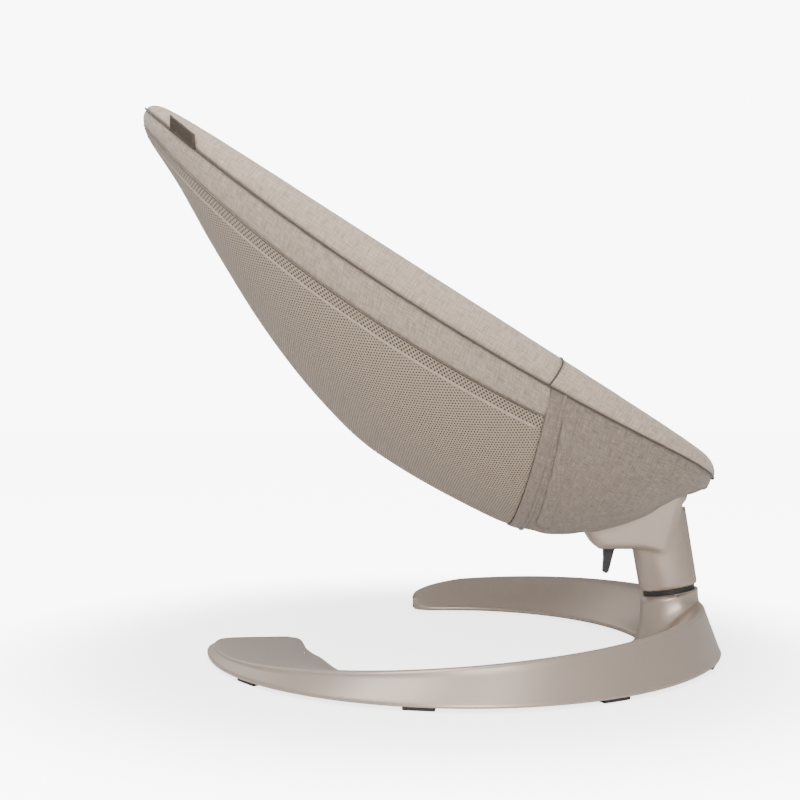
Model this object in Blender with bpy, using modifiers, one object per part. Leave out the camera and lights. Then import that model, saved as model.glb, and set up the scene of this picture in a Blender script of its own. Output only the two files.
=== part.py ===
"""Bouncer seat: a leaf-shaped cloth seat on a swinging column over an open ring base.

Metres, +Z up.  +X points to the foot end, -X to the head end, the open side of the
ring is on +Y.  The origin is on the floor, below the middle of the overall box.
"""
import math

import bmesh
import bpy
from mathutils import Matrix, Vector

# ---------------------------------------------------------------- driving dimensions
RING_X = 0.0301             # ring centre, ahead of the middle of the whole object
RING_OUTER_R = 0.287        # outer edge of the ring on the floor side
RING_INNER_R = 0.217        # inner edge of the ring
HEEL_BULGE = 0.013          # the ring stands out this much more below the column
HEEL_SPREAD = 27.0          # degrees
RING_CREST_INSET = 0.019    # how far the crest stands inside the outer edge
RING_HEIGHT_SIDE = 0.0386   # crest height a quarter turn from the column
RING_HEIGHT_SWELL = 0.0219  # extra height at the column, and less height at the tip
RING_HEIGHT_DIP = 0.0045
RING_LIP = 0.0045           # height of the inner lip above the underside
RING_WALL = 0.003
PADDLE_INNER_R = 0.177      # inner edge of the wide flat end of the near arm
NEAR_END = -178.0           # degrees, outer tip of the near arm
NEAR_END_SKEW = -7.0        # the end edge leans on by this much at its inner corner
FAR_END = 101.5             # degrees, round end of the far arm
FAR_ROUND = 10.0            # degrees over which the far arm closes to its end
GROUND_GAP = 0.004          # underside of the ring above the floor
PAD_R = 0.014
PAD_ANGLES = (-170.0, -142.0, -100.0, -60.0, -20.0, 32.0, 86.0)
PLATE_T = 0.0022            # under plate
CORE_SIZE = (0.014, 0.007)  # ballast bar, across and up
CORE_SPAN = (-104.0, 70.0)  # degrees

SWING_INSET = 0.0284        # swing axis at floor level, inside the ring's outer edge
SWING_TILT = 9.5            # degrees, the axis leans to the head end
SWING_GAP_Z = 0.0685        # height of the gap between stub and column on the axis
GAP_HEIGHT = 0.0052         # along the axis
COLUMN_A = 0.0335           # half length of the column's oval at the gap
COLUMN_B = 0.0265           # half width of the column's oval
COLUMN_GROWTH = 0.025       # the oval grows by this share of the height
COLUMN_RISE = 0.098         # column above the gap, along the axis
AXLE_R = 0.008
AXLE_RISE = 0.079           # axle above the gap, along the axis
BEARING_OUTER_R = 0.0155
BEARING_T = 0.009
SLEEVE_WALL = 0.0025
FIT = 0.0003                # gap between touching pieces

PIVOT_AHEAD = -0.0056       # recline pivot ahead of the axis at floor level
PIVOT_Z = 0.180
PIN_R = 0.004
BUSH_WALL = 0.0015
EAR_R = 0.0115
EAR_Y = (0.0165, 0.0245)    # inner and outer face of each ear
RECLINE_STEPS = (0.0, 5.5, 11.0)
ARM_HALF_Y = 0.0285         # half width of the housing arm
ARM_REACH = 0.107           # arm end, from the pivot towards the head
ARM_WALL = 0.003
CHEEK_Y = (0.0098, 0.0128)  # seat bracket cheeks
SECTOR_R = 0.076
SECTOR_ROOT_R = 0.0705
SECTOR_T = 0.005
LEVER_R = 0.0854            # lever pin, from the recline pivot
LEVER_ANGLE = 38.3          # degrees below the horizontal through the pivot
LEVER_PIN_R = 0.0025
LEVER_T = 0.009
LEVER_THROW = 12.0          # degrees

SEAT_LENGTH = 0.7766        # foot tip to head tip along the slope
SEAT_HALF_WIDTH = 0.197
SEAT_SKEW = 0.13            # the widest place sits nearer the head
SEAT_SLOPE = 32.22          # degrees
FOOT_AHEAD = 0.0425         # foot tip ahead of the recline pivot
FOOT_ABOVE = 0.0269         # foot tip above the recline pivot
HEAD_LIFT = 0.016           # rim rise at the head tip
FOOT_LIFT = 0.010           # rim rise at the foot tip
ROLL_R = 0.0155             # half thickness of the padded rim
TUBE_R = 0.009
TUBE_WALL = 0.0014
SEAM_END = 0.009            # seam below the rim top at both tips
SEAM_MORE = 0.025           # extra drop of the seam at the sides
BAND_WIDTH = 0.034
KEEL_INSET = 0.078          # the belly line ends this far inside both tips
BELLY = (                   # share of the length, depth below the rim plane
    (0.10, 0.114), (0.14, 0.147), (0.18, 0.168), (0.25, 0.183), (0.44, 0.190),
    (0.55, 0.173), (0.66, 0.141), (0.76, 0.099), (0.835, 0.061), (0.90, 0.035))
LINER_SHARE = 0.78          # hammock depth as a share of the belly
LINER_FOOT_SHARE = 0.58
LINER_T = 0.004
COVER_T = 0.002
ZIP_TOP_U = 0.236           # where the zip plane crosses the rim
ZIP_LEAN = 0.38             # the zip plane leans to the foot going down
ZIP_WIDTH = 0.016
TAG_SIZE = (0.034, 0.014, 0.0014)
TAG_U = 0.700

WEB = 0.024                 # harness webbing width
WEB_T = 0.0018

COLOURS = {                 # base colour, roughness, metallic
    "champagne": ((0.47, 0.41, 0.36), 0.42, 0.35),
    "black_plastic": ((0.025, 0.025, 0.027), 0.45, 0.0),
    "rubber": ((0.02, 0.02, 0.02), 0.85, 0.0),
    "steel": ((0.55, 0.55, 0.56), 0.35, 1.0),
    "aluminium": ((0.72, 0.72, 0.73), 0.35, 1.0),
    "nylon": ((0.80, 0.79, 0.75), 0.5, 0.0),
    "woven_cloth": ((0.50, 0.43, 0.36), 0.95, 0.0),
    "mesh_cloth": ((0.45, 0.37, 0.29), 0.95, 0.0),
    "tag_leather": ((0.09, 0.065, 0.05), 0.7, 0.0),
    "webbing": ((0.30, 0.27, 0.24), 0.9, 0.0),
}

# ---------------------------------------------------------------- places that follow
TILT = math.radians(SWING_TILT)
SWING_X = RING_X + RING_OUTER_R - SWING_INSET
GAP_CENTRE = Vector((SWING_X - SWING_GAP_Z * math.tan(TILT), 0.0, SWING_GAP_Z))
PIVOT = Vector((SWING_X + PIVOT_AHEAD, 0.0, PIVOT_Z))
SLOPE = math.radians(SEAT_SLOPE)
FOOT_TIP = PIVOT + Vector((FOOT_AHEAD, 0.0, FOOT_ABOVE))
ALONG = Vector((-math.cos(SLOPE), 0.0, math.sin(SLOPE)))     # foot to head
UP_SEAT = Vector((math.sin(SLOPE), 0.0, math.cos(SLOPE)))    # out of the rim plane
AXIS_FRAME = Matrix.Translation(GAP_CENTRE) @ Matrix.Rotation(-TILT, 4, "Y")


def seat_point(u, v, n):
    """World place of a point given along, across and above the rim plane."""
    return FOOT_TIP + ALONG * u + Vector((0.0, v, 0.0)) + UP_SEAT * n


def around_pivot(radius, degrees):
    """Point beside the recline pivot; the angle runs down from the head direction."""
    a = math.radians(degrees)
    return PIVOT + Vector((-radius * math.cos(a), 0.0, -radius * math.sin(a)))


def smooth(x, low, high):
    """0 below low, 1 above high, an even ease between them."""
    t = min(max((x - low) / (high - low), 0.0), 1.0)
    return t * t * (3.0 - 2.0 * t)


# ---------------------------------------------------------------- scene and helpers
for old in list(bpy.data.objects):
    bpy.data.objects.remove(old, do_unlink=True)

PARTS = bpy.data.collections.new("bouncer_seat")
CUTTERS = bpy.data.collections.new("cutters")
bpy.context.scene.collection.children.link(PARTS)
bpy.context.scene.collection.children.link(CUTTERS)


def make_material(name):
    """One Principled material from the colour table."""
    colour, roughness, metallic = COLOURS[name]
    made = bpy.data.materials.new(name)
    made.use_nodes = True
    shader = made.node_tree.nodes["Principled BSDF"]
    shader.inputs["Base Color"].default_value = (*colour, 1.0)
    shader.inputs["Roughness"].default_value = roughness
    shader.inputs["Metallic"].default_value = metallic
    made.diffuse_color = (*colour, 1.0)
    return made


def add(name, data, material=None):
    """Link a new object: a part with its own material, or a cutter without one."""
    made = bpy.data.objects.new(name, data)
    if material is None:
        CUTTERS.objects.link(made)
        made.hide_render = True
        made.display_type = "WIRE"
    else:
        PARTS.objects.link(made)
        data.materials.append(make_material(material))
    return made


def from_bmesh(name, bm, material=None):
    """Finish a bmesh: outward normals, then an object of it."""
    bmesh.ops.recalc_face_normals(bm, faces=bm.faces)
    data = bpy.data.meshes.new(name)
    bm.to_mesh(data)
    bm.free()
    return add(name, data, material)


def cylinders(name, places, radius, depth, material=None, segments=16, radius2=None):
    """Equal cylinders or cones, one at each matrix, centred on it along its Z."""
    bm = bmesh.new()
    for place in places:
        bmesh.ops.create_cone(bm, cap_ends=True, segments=segments, radius1=radius,
                              radius2=radius if radius2 is None else radius2,
                              depth=depth, matrix=place)
    return from_bmesh(name, bm, material)


def boxes(name, places, sizes, material=None, bevel=0.0):
    """Boxes of the given sizes, one at each matrix."""
    bm = bmesh.new()
    for place, size in zip(places, sizes):
        bmesh.ops.create_cube(bm, size=1.0, matrix=place @ Matrix.Diagonal((*size, 1.0)))
    made = from_bmesh(name, bm, material)
    if bevel:
        edge = made.modifiers.new("rounded", "BEVEL")
        edge.width = bevel
        edge.segments = 2
    return made


def plate(name, outline, y_low, y_high, material=None, bevel=0.0):
    """A flat outline in X and Z, as thick as from y_low to y_high."""
    curve = bpy.data.curves.new(name, "CURVE")
    curve.dimensions = "2D"
    curve.fill_mode = "BOTH"
    curve.extrude = (y_high - y_low) / 2.0
    spline = curve.splines.new("POLY")
    spline.points.add(len(outline) - 1)
    for point, place in zip(spline.points, outline):
        point.co = (place[0], place[1], 0.0, 1.0)
    spline.use_cyclic_u = True
    flat = add(name + "_outline", curve)
    flat.matrix_world = (Matrix.Translation((0.0, (y_low + y_high) / 2.0, 0.0))
                         @ Matrix.Rotation(math.pi / 2.0, 4, "X"))
    made = meshed(flat, name, material)
    if bevel:
        edge = made.modifiers.new("rounded", "BEVEL")
        edge.width = bevel
        edge.segments = 3
        edge.limit_method = "ANGLE"
        edge.angle_limit = math.radians(40.0)
    return made


def meshed(source, name, material=None):
    """The evaluated shape of a curve as a mesh object with welded caps, in world space."""
    bpy.context.view_layer.update()
    graph = bpy.context.evaluated_depsgraph_get()
    data = bpy.data.meshes.new_from_object(source.evaluated_get(graph))
    data.materials.clear()
    data.transform(source.matrix_world)
    bm = bmesh.new()
    bm.from_mesh(data)
    bmesh.ops.remove_doubles(bm, verts=bm.verts, dist=0.00002)
    bmesh.ops.recalc_face_normals(bm, faces=bm.faces)
    bm.to_mesh(data)
    bm.free()
    bpy.data.objects.remove(source, do_unlink=True)
    data.name = name
    return add(name, data, material)


def tube(name, points, radius, material=None, resolution=2, caps=True):
    """A round bar or, with open ends, a pipe's outer skin along the points."""
    curve = bpy.data.curves.new(name, "CURVE")
    curve.dimensions = "3D"
    curve.bevel_depth = radius
    curve.bevel_resolution = resolution
    curve.use_fill_caps = caps
    spline = curve.splines.new("POLY")
    spline.points.add(len(points) - 1)
    for point, place in zip(spline.points, points):
        point.co = (*place, 1.0)
    return meshed(add(name + "_line", curve), name, material)


def turned(name, profile, place, material, segments=24):
    """A profile of (radius, height) pairs, top to bottom outside, turned about local Z."""
    data = bpy.data.meshes.new(name)
    edges = [(i, (i + 1) % len(profile)) for i in range(len(profile))]
    data.from_pydata([(r, 0.0, z) for r, z in profile], edges, [])
    made = add(name, data, material)
    made.matrix_world = place
    screw = made.modifiers.new("turned", "SCREW")
    screw.steps = segments
    screw.render_steps = segments
    screw.use_merge_vertices = True
    screw.merge_threshold = 0.00001
    return made


def cut(made, cutter, operation="DIFFERENCE"):
    """Boolean with the exact solver."""
    boolean = made.modifiers.new(operation.lower(), "BOOLEAN")
    boolean.operation = operation
    boolean.solver = "EXACT"
    boolean.object = cutter
    return made


def apply_all(made):
    """Freeze an object's modifiers into its mesh as triangles, keeping its material."""
    bpy.context.view_layer.update()
    graph = bpy.context.evaluated_depsgraph_get()
    data = bpy.data.meshes.new_from_object(made.evaluated_get(graph))
    data.name = made.name
    bm = bmesh.new()
    bm.from_mesh(data)
    bmesh.ops.remove_doubles(bm, verts=bm.verts, dist=0.00001)
    bmesh.ops.triangulate(bm, faces=bm.faces)
    bm.to_mesh(data)
    bm.free()
    made.modifiers.clear()
    made.data = data
    return made


def across(place):
    """Matrix at a place whose local Z runs across the object."""
    return Matrix.Translation(place) @ Matrix.Rotation(-math.pi / 2.0, 4, "X")


def on_axis(height, x=0.0):
    """Matrix on the swing axis, at a height along it from the gap's middle."""
    return AXIS_FRAME @ Matrix.Translation((x, 0.0, height))


def grid_faces(rows, columns, closed=False):
    """Quads of a grid of points stored row by row."""
    faces = []
    for i in range(rows - 1):
        for j in range(columns if closed else columns - 1):
            k = (j + 1) % columns
            faces.append((i * columns + j, i * columns + k,
                          (i + 1) * columns + k, (i + 1) * columns + j))
    return faces


# ---------------------------------------------------------------- ring base
def crest_height(degrees):
    """Height of the crest above the floor around the ring."""
    c = math.cos(math.radians(degrees))
    return RING_HEIGHT_SIDE + RING_HEIGHT_SWELL * c - RING_HEIGHT_DIP * c * c


def outer_radius(degrees):
    """Outer edge: round, with a bulge below the column."""
    return RING_OUTER_R + HEEL_BULGE * math.exp(-(degrees / HEEL_SPREAD) ** 2)


def inner_radius(degrees):
    """Inner edge: round, wider at the near arm's flat end, closing at the far end."""
    paddle = smooth(-degrees, 112.0, 152.0)
    radius = RING_INNER_R + (PADDLE_INNER_R - RING_INNER_R) * paddle
    t = min(max((degrees - (FAR_END - FAR_ROUND)) / FAR_ROUND, 0.0), 1.0)
    closing = 1.0 - math.sqrt(max(1.0 - t * t, 0.0))
    return radius + (RING_OUTER_R - 0.020 - radius) * closing


def ring_section(degrees, inset, floor):
    """Closed section of the ring at one angle, shrunk by inset, as world points."""
    inner = inner_radius(degrees) + inset
    outer = outer_radius(degrees) - inset
    crest = outer - RING_CREST_INSET
    top = max(crest_height(degrees) - inset, GROUND_GAP + RING_LIP + 0.001)
    far = smooth(degrees, FAR_END - FAR_ROUND, FAR_END)
    top = top + (GROUND_GAP + RING_LIP + 0.004 - top) * 0.75 * far
    lip = GROUND_GAP + RING_LIP - inset * 0.4
    width = crest - inner
    profile = [(outer, floor), (outer - 0.001, floor + 0.002),
               (crest + 0.004, top - 0.006), (crest + 0.001, top - 0.0015),
               (crest - 0.003, top), (crest - width * 0.12, top - (top - lip) * 0.05),
               (crest - width * 0.5, top - (top - lip) * 0.45),
               (inner + 0.003, lip + 0.0015), (inner, lip - 0.001), (inner, floor)]
    points = []
    skew = NEAR_END_SKEW * smooth(-degrees, 150.0, -NEAR_END)
    for radius, z in profile:
        lean = skew * (outer - radius) / (outer - inner)
        a = math.radians(degrees + lean)
        points.append((RING_X + radius * math.cos(a), radius * math.sin(a), z))
    return points


def ring_solid(name, inset, floor, start, end, steps, material=None):
    """Loft of the ring's section between two angles, closed by a face at each end."""
    rows = []
    for i in range(steps + 1):
        rows += ring_section(start + (end - start) * i / steps, inset, floor)
    columns = len(rows) // (steps + 1)
    faces = grid_faces(steps + 1, columns, closed=True)
    faces.append(tuple(range(columns)))
    faces.append(tuple(range(steps * columns, (steps + 1) * columns)))
    bm = bmesh.new()
    made = [bm.verts.new(p) for p in rows]
    for face in faces:
        bm.faces.new([made[k] for k in face])
    return from_bmesh(name, bm, material)


RING_STEPS = 56
cover = ring_solid("base_ring_cover", 0.0, GROUND_GAP, NEAR_END, FAR_END, RING_STEPS, "champagne")
STUB_DEPTH = 0.040
WELL_A = COLUMN_A - 0.0085
stub = cylinders("stub_outer", [on_axis(-(GAP_HEIGHT + STUB_DEPTH) / 2.0)
                 @ Matrix.Diagonal((1.0, COLUMN_B / COLUMN_A, 1.0, 1.0))],
                 COLUMN_A + 0.004, STUB_DEPTH, segments=32, radius2=COLUMN_A)
hollow = ring_solid("ring_hollow", RING_WALL, -0.004, NEAR_END + 1.7,
                    FAR_END - FAR_ROUND, RING_STEPS - 7)
cut(cover, hollow)
apply_all(cover)
cut(cover, stub, "UNION")
well = cylinders("stub_well", [on_axis(-0.047)
                 @ Matrix.Diagonal((1.0, (COLUMN_B - 0.0085) / WELL_A, 1.0, 1.0))],
                 WELL_A, 0.074, segments=32)
cut(cover, well)
apply_all(cover)
bore = cylinders("stub_bore", [on_axis(-0.01)], AXLE_R + FIT, 0.06, segments=20)
cut(cover, bore)

PLATE_Z = GROUND_GAP
PLATE_PLAY = 0.0012
WALL_FOOT = 0.002           # the ring's outer wall starts to lean in at this height


def plate_outer(degrees):
    """Outer edge of the under plate, inside the leaning wall of the ring."""
    outer = outer_radius(degrees) - RING_WALL
    rise = crest_height(degrees) - RING_WALL - 0.006 + WALL_FOOT
    share = min((PLATE_Z + PLATE_T + WALL_FOOT) / rise, 1.0)
    low_height = smooth(share, 0.6, 1.0) * 0.002
    return outer - 0.001 - (RING_CREST_INSET - 0.005) * share - low_height - PLATE_PLAY


plate_rows = []
PLATE_SPAN = (NEAR_END + 4.0, FAR_END - FAR_ROUND - 1.0)
for i in range(RING_STEPS + 1):
    angle = PLATE_SPAN[0] + (PLATE_SPAN[1] - PLATE_SPAN[0]) * i / RING_STEPS
    a = math.radians(angle)
    inside = inner_radius(angle) + RING_WALL + 0.0022
    edge = plate_outer(angle)
    for radius, z in ((edge, PLATE_Z), (edge, PLATE_Z + PLATE_T),
                      (inside, PLATE_Z + PLATE_T), (inside, PLATE_Z)):
        plate_rows.append((RING_X + radius * math.cos(a), radius * math.sin(a), z))
bm = bmesh.new()
made = [bm.verts.new(p) for p in plate_rows]
for face in grid_faces(RING_STEPS + 1, 4, closed=True) + [(0, 1, 2, 3), tuple(
        range(RING_STEPS * 4, RING_STEPS * 4 + 4))]:
    bm.faces.new([made[k] for k in face])
under_plate = from_bmesh("base_under_plate", bm, "black_plastic")


def ring_place(degrees, radius, z):
    """Matrix on the ring, turned with it."""
    a = math.radians(degrees)
    return (Matrix.Translation((RING_X + radius * math.cos(a), radius * math.sin(a), z))
            @ Matrix.Rotation(a, 4, "Z"))


CORE_R = RING_OUTER_R - RING_CREST_INSET - 0.010
CORE_Z = PLATE_Z + PLATE_T + FIT + CORE_SIZE[1] / 2.0
bm = bmesh.new()
made = []
CORE_STEPS = 32
for i in range(CORE_STEPS + 1):
    a = math.radians(CORE_SPAN[0] + (CORE_SPAN[1] - CORE_SPAN[0]) * i / CORE_STEPS)
    for side, up in ((1, -1), (1, 1), (-1, 1), (-1, -1)):
        radius = CORE_R + side * CORE_SIZE[0] / 2.0
        made.append(bm.verts.new((RING_X + radius * math.cos(a), radius * math.sin(a),
                                  CORE_Z + up * CORE_SIZE[1] / 2.0)))
for face in grid_faces(CORE_STEPS + 1, 4, closed=True) + [(0, 1, 2, 3), tuple(
        range(CORE_STEPS * 4, CORE_STEPS * 4 + 4))]:
    bm.faces.new([made[k] for k in face])
core = from_bmesh("base_core_bar", bm, "steel")

PAD_RING_R = (RING_OUTER_R + RING_INNER_R) / 2.0
for number, angle in enumerate(PAD_ANGLES, start=1):
    cylinders(f"foot_pad_{number}", [ring_place(angle, PAD_RING_R, (GROUND_GAP - FIT) / 2.0)],
              PAD_R, GROUND_GAP - FIT, "rubber", segments=20)

PLATE_SCREWS = (-156.0, -80.0, -40.0, 58.0)
SCREW_R = 0.0016
SCREW_LENGTH = 0.009
SCREW_RING_R = RING_INNER_R + 0.011


def screw_radius(degrees):
    """Screws stand just inside the inner lip, also where the arm widens."""
    return inner_radius(degrees) + SCREW_RING_R - RING_INNER_R


holes = [ring_place(a, screw_radius(a), PLATE_Z) for a in PLATE_SCREWS]
cut(under_plate, cylinders("plate_holes", holes, SCREW_R + FIT, 0.02, segments=12))
axle_hole = cylinders("axle_hole", [on_axis(-GAP_CENTRE.z)], AXLE_R + 0.006, 0.04, segments=20)
cut(under_plate, axle_hole)
cut(core, cylinders("core_hole", [on_axis(-GAP_CENTRE.z)], AXLE_R + FIT, 0.08, segments=20))
SCREW_Z = PLATE_Z + SCREW_LENGTH / 2.0 - 0.0018
for number, angle in enumerate(PLATE_SCREWS, start=1):
    cylinders(f"base_screw_{number}", [ring_place(angle, screw_radius(angle), SCREW_Z)],
              SCREW_R, SCREW_LENGTH, "steel", segments=12)
bosses = cylinders("screw_bosses", [ring_place(a, screw_radius(a), SCREW_Z + 0.0005)
                                    for a in PLATE_SCREWS],
                   SCREW_R + FIT, SCREW_LENGTH + FIT, segments=12)
cut(cover, bosses)

# ---------------------------------------------------------------- swing axle and bearings
SHAFT_FOOT = CORE_Z + CORE_SIZE[1] / 2.0 - GAP_CENTRE.z
SEAT_LOW = GAP_HEIGHT / 2.0 + 0.006
SEAT_HIGH = AXLE_RISE - 0.026
axle = turned("swing_axle", [
    (0.0, AXLE_RISE), (AXLE_R - 0.001, AXLE_RISE), (AXLE_R, AXLE_RISE - 0.001),
    (AXLE_R, SHAFT_FOOT + 0.016), (AXLE_R + 0.008, SHAFT_FOOT + 0.012),
    (AXLE_R + 0.008, SHAFT_FOOT + 0.0035), (0.0, SHAFT_FOOT + 0.0035)],
    on_axis(0.0), "steel")
RACE_INNER_R = AXLE_R + FIT
for label, height in (("lower_bearing", SEAT_LOW + BEARING_T / 2.0),
                      ("upper_bearing", SEAT_HIGH - BEARING_T / 2.0)):
    turned(label, [(RACE_INNER_R, height + BEARING_T / 2.0),
                   (BEARING_OUTER_R, height + BEARING_T / 2.0),
                   (BEARING_OUTER_R, height - BEARING_T / 2.0),
                   (RACE_INNER_R, height - BEARING_T / 2.0)],
           on_axis(0.0), "steel", segments=24)
SLEEVE_IN = BEARING_OUTER_R + FIT
SLEEVE_OUT = SLEEVE_IN + SLEEVE_WALL
STEP_IN = BEARING_OUTER_R - 0.002
turned("bearing_sleeve", [
    (SLEEVE_IN, SEAT_HIGH), (SLEEVE_OUT, SEAT_HIGH), (SLEEVE_OUT, SEAT_LOW),
    (SLEEVE_IN, SEAT_LOW), (SLEEVE_IN, SEAT_LOW + BEARING_T + FIT),
    (STEP_IN, SEAT_LOW + BEARING_T + FIT), (STEP_IN, SEAT_HIGH - BEARING_T - FIT),
    (SLEEVE_IN, SEAT_HIGH - BEARING_T - FIT)], on_axis(0.0), "steel", segments=24)
turned("axle_washer", [
    (RACE_INNER_R, SEAT_HIGH + 0.0022), (0.0125, SEAT_HIGH + 0.0022),
    (0.0125, SEAT_HIGH + FIT), (RACE_INNER_R, SEAT_HIGH + FIT)],
    on_axis(0.0), "steel", segments=20)
NUT_BORE = RACE_INNER_R / math.cos(math.pi / 6.0)
turned("axle_nut", [
    (NUT_BORE, SEAT_HIGH + 0.0125), (0.0115, SEAT_HIGH + 0.0125),
    (0.0130, SEAT_HIGH + 0.0110), (0.0130, SEAT_HIGH + 0.0025),
    (NUT_BORE, SEAT_HIGH + 0.0025)], on_axis(0.0), "steel", segments=6)
GAP_RING = GAP_HEIGHT / 2.0 - FIT
gap_ring = cylinders("gap_ring", [on_axis(0.0) @ Matrix.Diagonal(
    (1.0, (COLUMN_B - 0.0035) / (COLUMN_A - 0.0035), 1.0, 1.0))],
    COLUMN_A - 0.0035, GAP_RING * 2.0, "black_plastic", segments=32)
cut(gap_ring, cylinders("gap_ring_bore", [on_axis(0.0)], AXLE_R + 0.002, 0.02, segments=20))

# ---------------------------------------------------------------- column housing
COLUMN_TOP_A = COLUMN_A * (1.0 + COLUMN_GROWTH)
housing = cylinders("column_shell_near", [on_axis(GAP_HEIGHT / 2.0 + COLUMN_RISE / 2.0)
                    @ Matrix.Diagonal((1.0, COLUMN_B / COLUMN_A, 1.0, 1.0))],
                    COLUMN_A, COLUMN_RISE, "champagne", segments=32, radius2=COLUMN_TOP_A)


def arm_point(ahead, up):
    """A point given along X and Z from the recline pivot."""
    return (PIVOT.x + ahead, PIVOT.z + up)


ARM_END = -ARM_REACH
ARM_FLOOR = -0.0630         # underside of the arm, from the pivot
ear_arc = [arm_point(EAR_R * math.cos(math.radians(a)), EAR_R * math.sin(math.radians(a)))
           for a in range(-60, 101, 20)]
arm_outline = ear_arc + [
    arm_point(-0.028, 0.0000), arm_point(-0.060, -0.0120), arm_point(ARM_END + 0.004, -0.0260),
    arm_point(ARM_END, -0.0310), arm_point(ARM_END, -0.0400), arm_point(ARM_END + 0.0125, -0.0590),
    arm_point(ARM_END + 0.0165, ARM_FLOOR), arm_point(-0.040, ARM_FLOOR), arm_point(-0.010, -0.070)]
arm = plate("arm_block", arm_outline, -ARM_HALF_Y, ARM_HALF_Y, bevel=0.006)
cut(housing, arm, "UNION")
apply_all(housing)
slot_outline = [arm_point(0.030, 0.030), arm_point(-0.120, 0.030),
                arm_point(ARM_END + ARM_WALL, -0.0240), arm_point(ARM_END + ARM_WALL, -0.0390),
                arm_point(ARM_END + 0.0165, ARM_FLOOR + ARM_WALL + 0.001),
                arm_point(-0.052, ARM_FLOOR + ARM_WALL), arm_point(-0.045, -0.0500),
                arm_point(-0.016, -0.0340), arm_point(0.0300, -0.0140)]
slot = plate("arm_slot", slot_outline, -EAR_Y[0], EAR_Y[0])
cut(housing, slot)
apply_all(housing)
top_space = [arm_point(-0.020, 0.030), arm_point(-0.150, 0.030),
             arm_point(ARM_END + ARM_WALL, -0.0240), arm_point(ARM_END + ARM_WALL, -0.0390),
             arm_point(ARM_END + 0.0165, ARM_FLOOR + ARM_WALL + 0.001),
             arm_point(-0.060, ARM_FLOOR + ARM_WALL), arm_point(-0.056, -0.020)]
cut(housing, plate("arm_space", top_space, ARM_WALL - ARM_HALF_Y, ARM_HALF_Y - ARM_WALL))
apply_all(housing)
cut(housing, cylinders("sleeve_seat", [on_axis(SEAT_HIGH / 2.0 + 0.003)],
                       SLEEVE_OUT + FIT, SEAT_HIGH + 0.006, segments=24))
apply_all(housing)
NUT_SPACE = 0.020
cut(housing, cylinders("nut_space", [on_axis(SEAT_HIGH + NUT_SPACE / 2.0 + 0.005)],
                       SLEEVE_OUT + 0.0015, NUT_SPACE + 0.012, segments=24))
apply_all(housing)
PIN_LENGTH = EAR_Y[1] * 2.0
cut(housing, cylinders("pin_hole", [across(PIVOT)], PIN_R + FIT, 0.1, segments=20))
apply_all(housing)
LEVER_PIVOT = around_pivot(LEVER_R, LEVER_ANGLE)
LEVER_PIN_LENGTH = (ARM_HALF_Y - ARM_WALL) * 2.0 + 0.002
cut(housing, cylinders("lever_pin_hole", [across(LEVER_PIVOT)], LEVER_PIN_R + FIT,
                       LEVER_PIN_LENGTH + FIT * 2.0, segments=12))
apply_all(housing)
LEVER_SLOT = boxes("lever_slot", [Matrix.Translation(
    LEVER_PIVOT + Vector((-0.0035, 0.0, ARM_FLOOR + PIVOT.z - LEVER_PIVOT.z)))],
    [(0.034, LEVER_T + 0.004, 0.012)])
cut(housing, LEVER_SLOT)
apply_all(housing)


def half_of(source, name, side):
    """One half of the housing, on the side of Y that side gives, and a closed cut face."""
    bm = bmesh.new()
    bm.from_mesh(source.data)
    geometry = bm.verts[:] + bm.edges[:] + bm.faces[:]
    split = bmesh.ops.bisect_plane(bm, geom=geometry, plane_co=(0.0, side * FIT / 2.0, 0.0),
                                   plane_no=(0.0, side, 0.0), clear_inner=True)
    rim = [e for e in split["geom_cut"] if isinstance(e, bmesh.types.BMEdge)]
    bmesh.ops.holes_fill(bm, edges=rim)
    bmesh.ops.triangulate(bm, faces=[f for f in bm.faces if len(f.verts) > 4])
    return from_bmesh(name, bm, "champagne")


half_of(housing, "column_shell_far", 1.0)
near_half = half_of(housing, "column_near_half", -1.0)
housing.data = near_half.data
bpy.data.objects.remove(near_half, do_unlink=True)
cylinders("recline_pin", [across(PIVOT)], PIN_R, PIN_LENGTH, "steel", segments=20)
cylinders("lever_pin", [across(LEVER_PIVOT)], LEVER_PIN_R, LEVER_PIN_LENGTH, "steel", segments=12)

# ---------------------------------------------------------------- recline lever and latch


def lever_point(ahead, up):
    """A point given along X and Z from the lever pin."""
    return (LEVER_PIVOT.x + ahead, LEVER_PIVOT.z + up)


handle = plate("recline_lever", [
    lever_point(-0.0060, 0.0030), lever_point(-0.0015, 0.0062), lever_point(0.0045, 0.0045),
    lever_point(0.0062, -0.0010), lever_point(0.0030, -0.0085), lever_point(-0.0030, -0.0130),
    lever_point(-0.0095, -0.0380), lever_point(-0.0125, -0.0405), lever_point(-0.0160, -0.0385),
    lever_point(-0.0150, -0.0220), lever_point(-0.0155, -0.0105), lever_point(-0.0090, -0.0040)],
    -LEVER_T / 2.0, LEVER_T / 2.0, "black_plastic")
cut(handle, cylinders("lever_bore", [across(LEVER_PIVOT)], LEVER_PIN_R + FIT, 0.04, segments=12))
PAWL_T = 0.004
TOOTH_GAP = 0.0005
TOOTH = around_pivot(SECTOR_R + TOOTH_GAP, 28.0)
PAWL_PLACE = Vector((0.0, 0.0, 0.0062 + FIT))
pawl_base = (LEVER_PIVOT.x, LEVER_PIVOT.z + PAWL_PLACE.z)
pawl = plate("latch_pawl", [
    (pawl_base[0] + 0.0040, pawl_base[1] - 0.0005), (pawl_base[0] + 0.0015, pawl_base[1] + 0.0050),
    (TOOTH.x, TOOTH.z), (TOOTH.x - 0.0040, TOOTH.z + 0.0010),
    (pawl_base[0] - 0.0060, pawl_base[1] + 0.0025), (pawl_base[0] - 0.0045, pawl_base[1])],
    -PAWL_T / 2.0, PAWL_T / 2.0, "steel")
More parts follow.
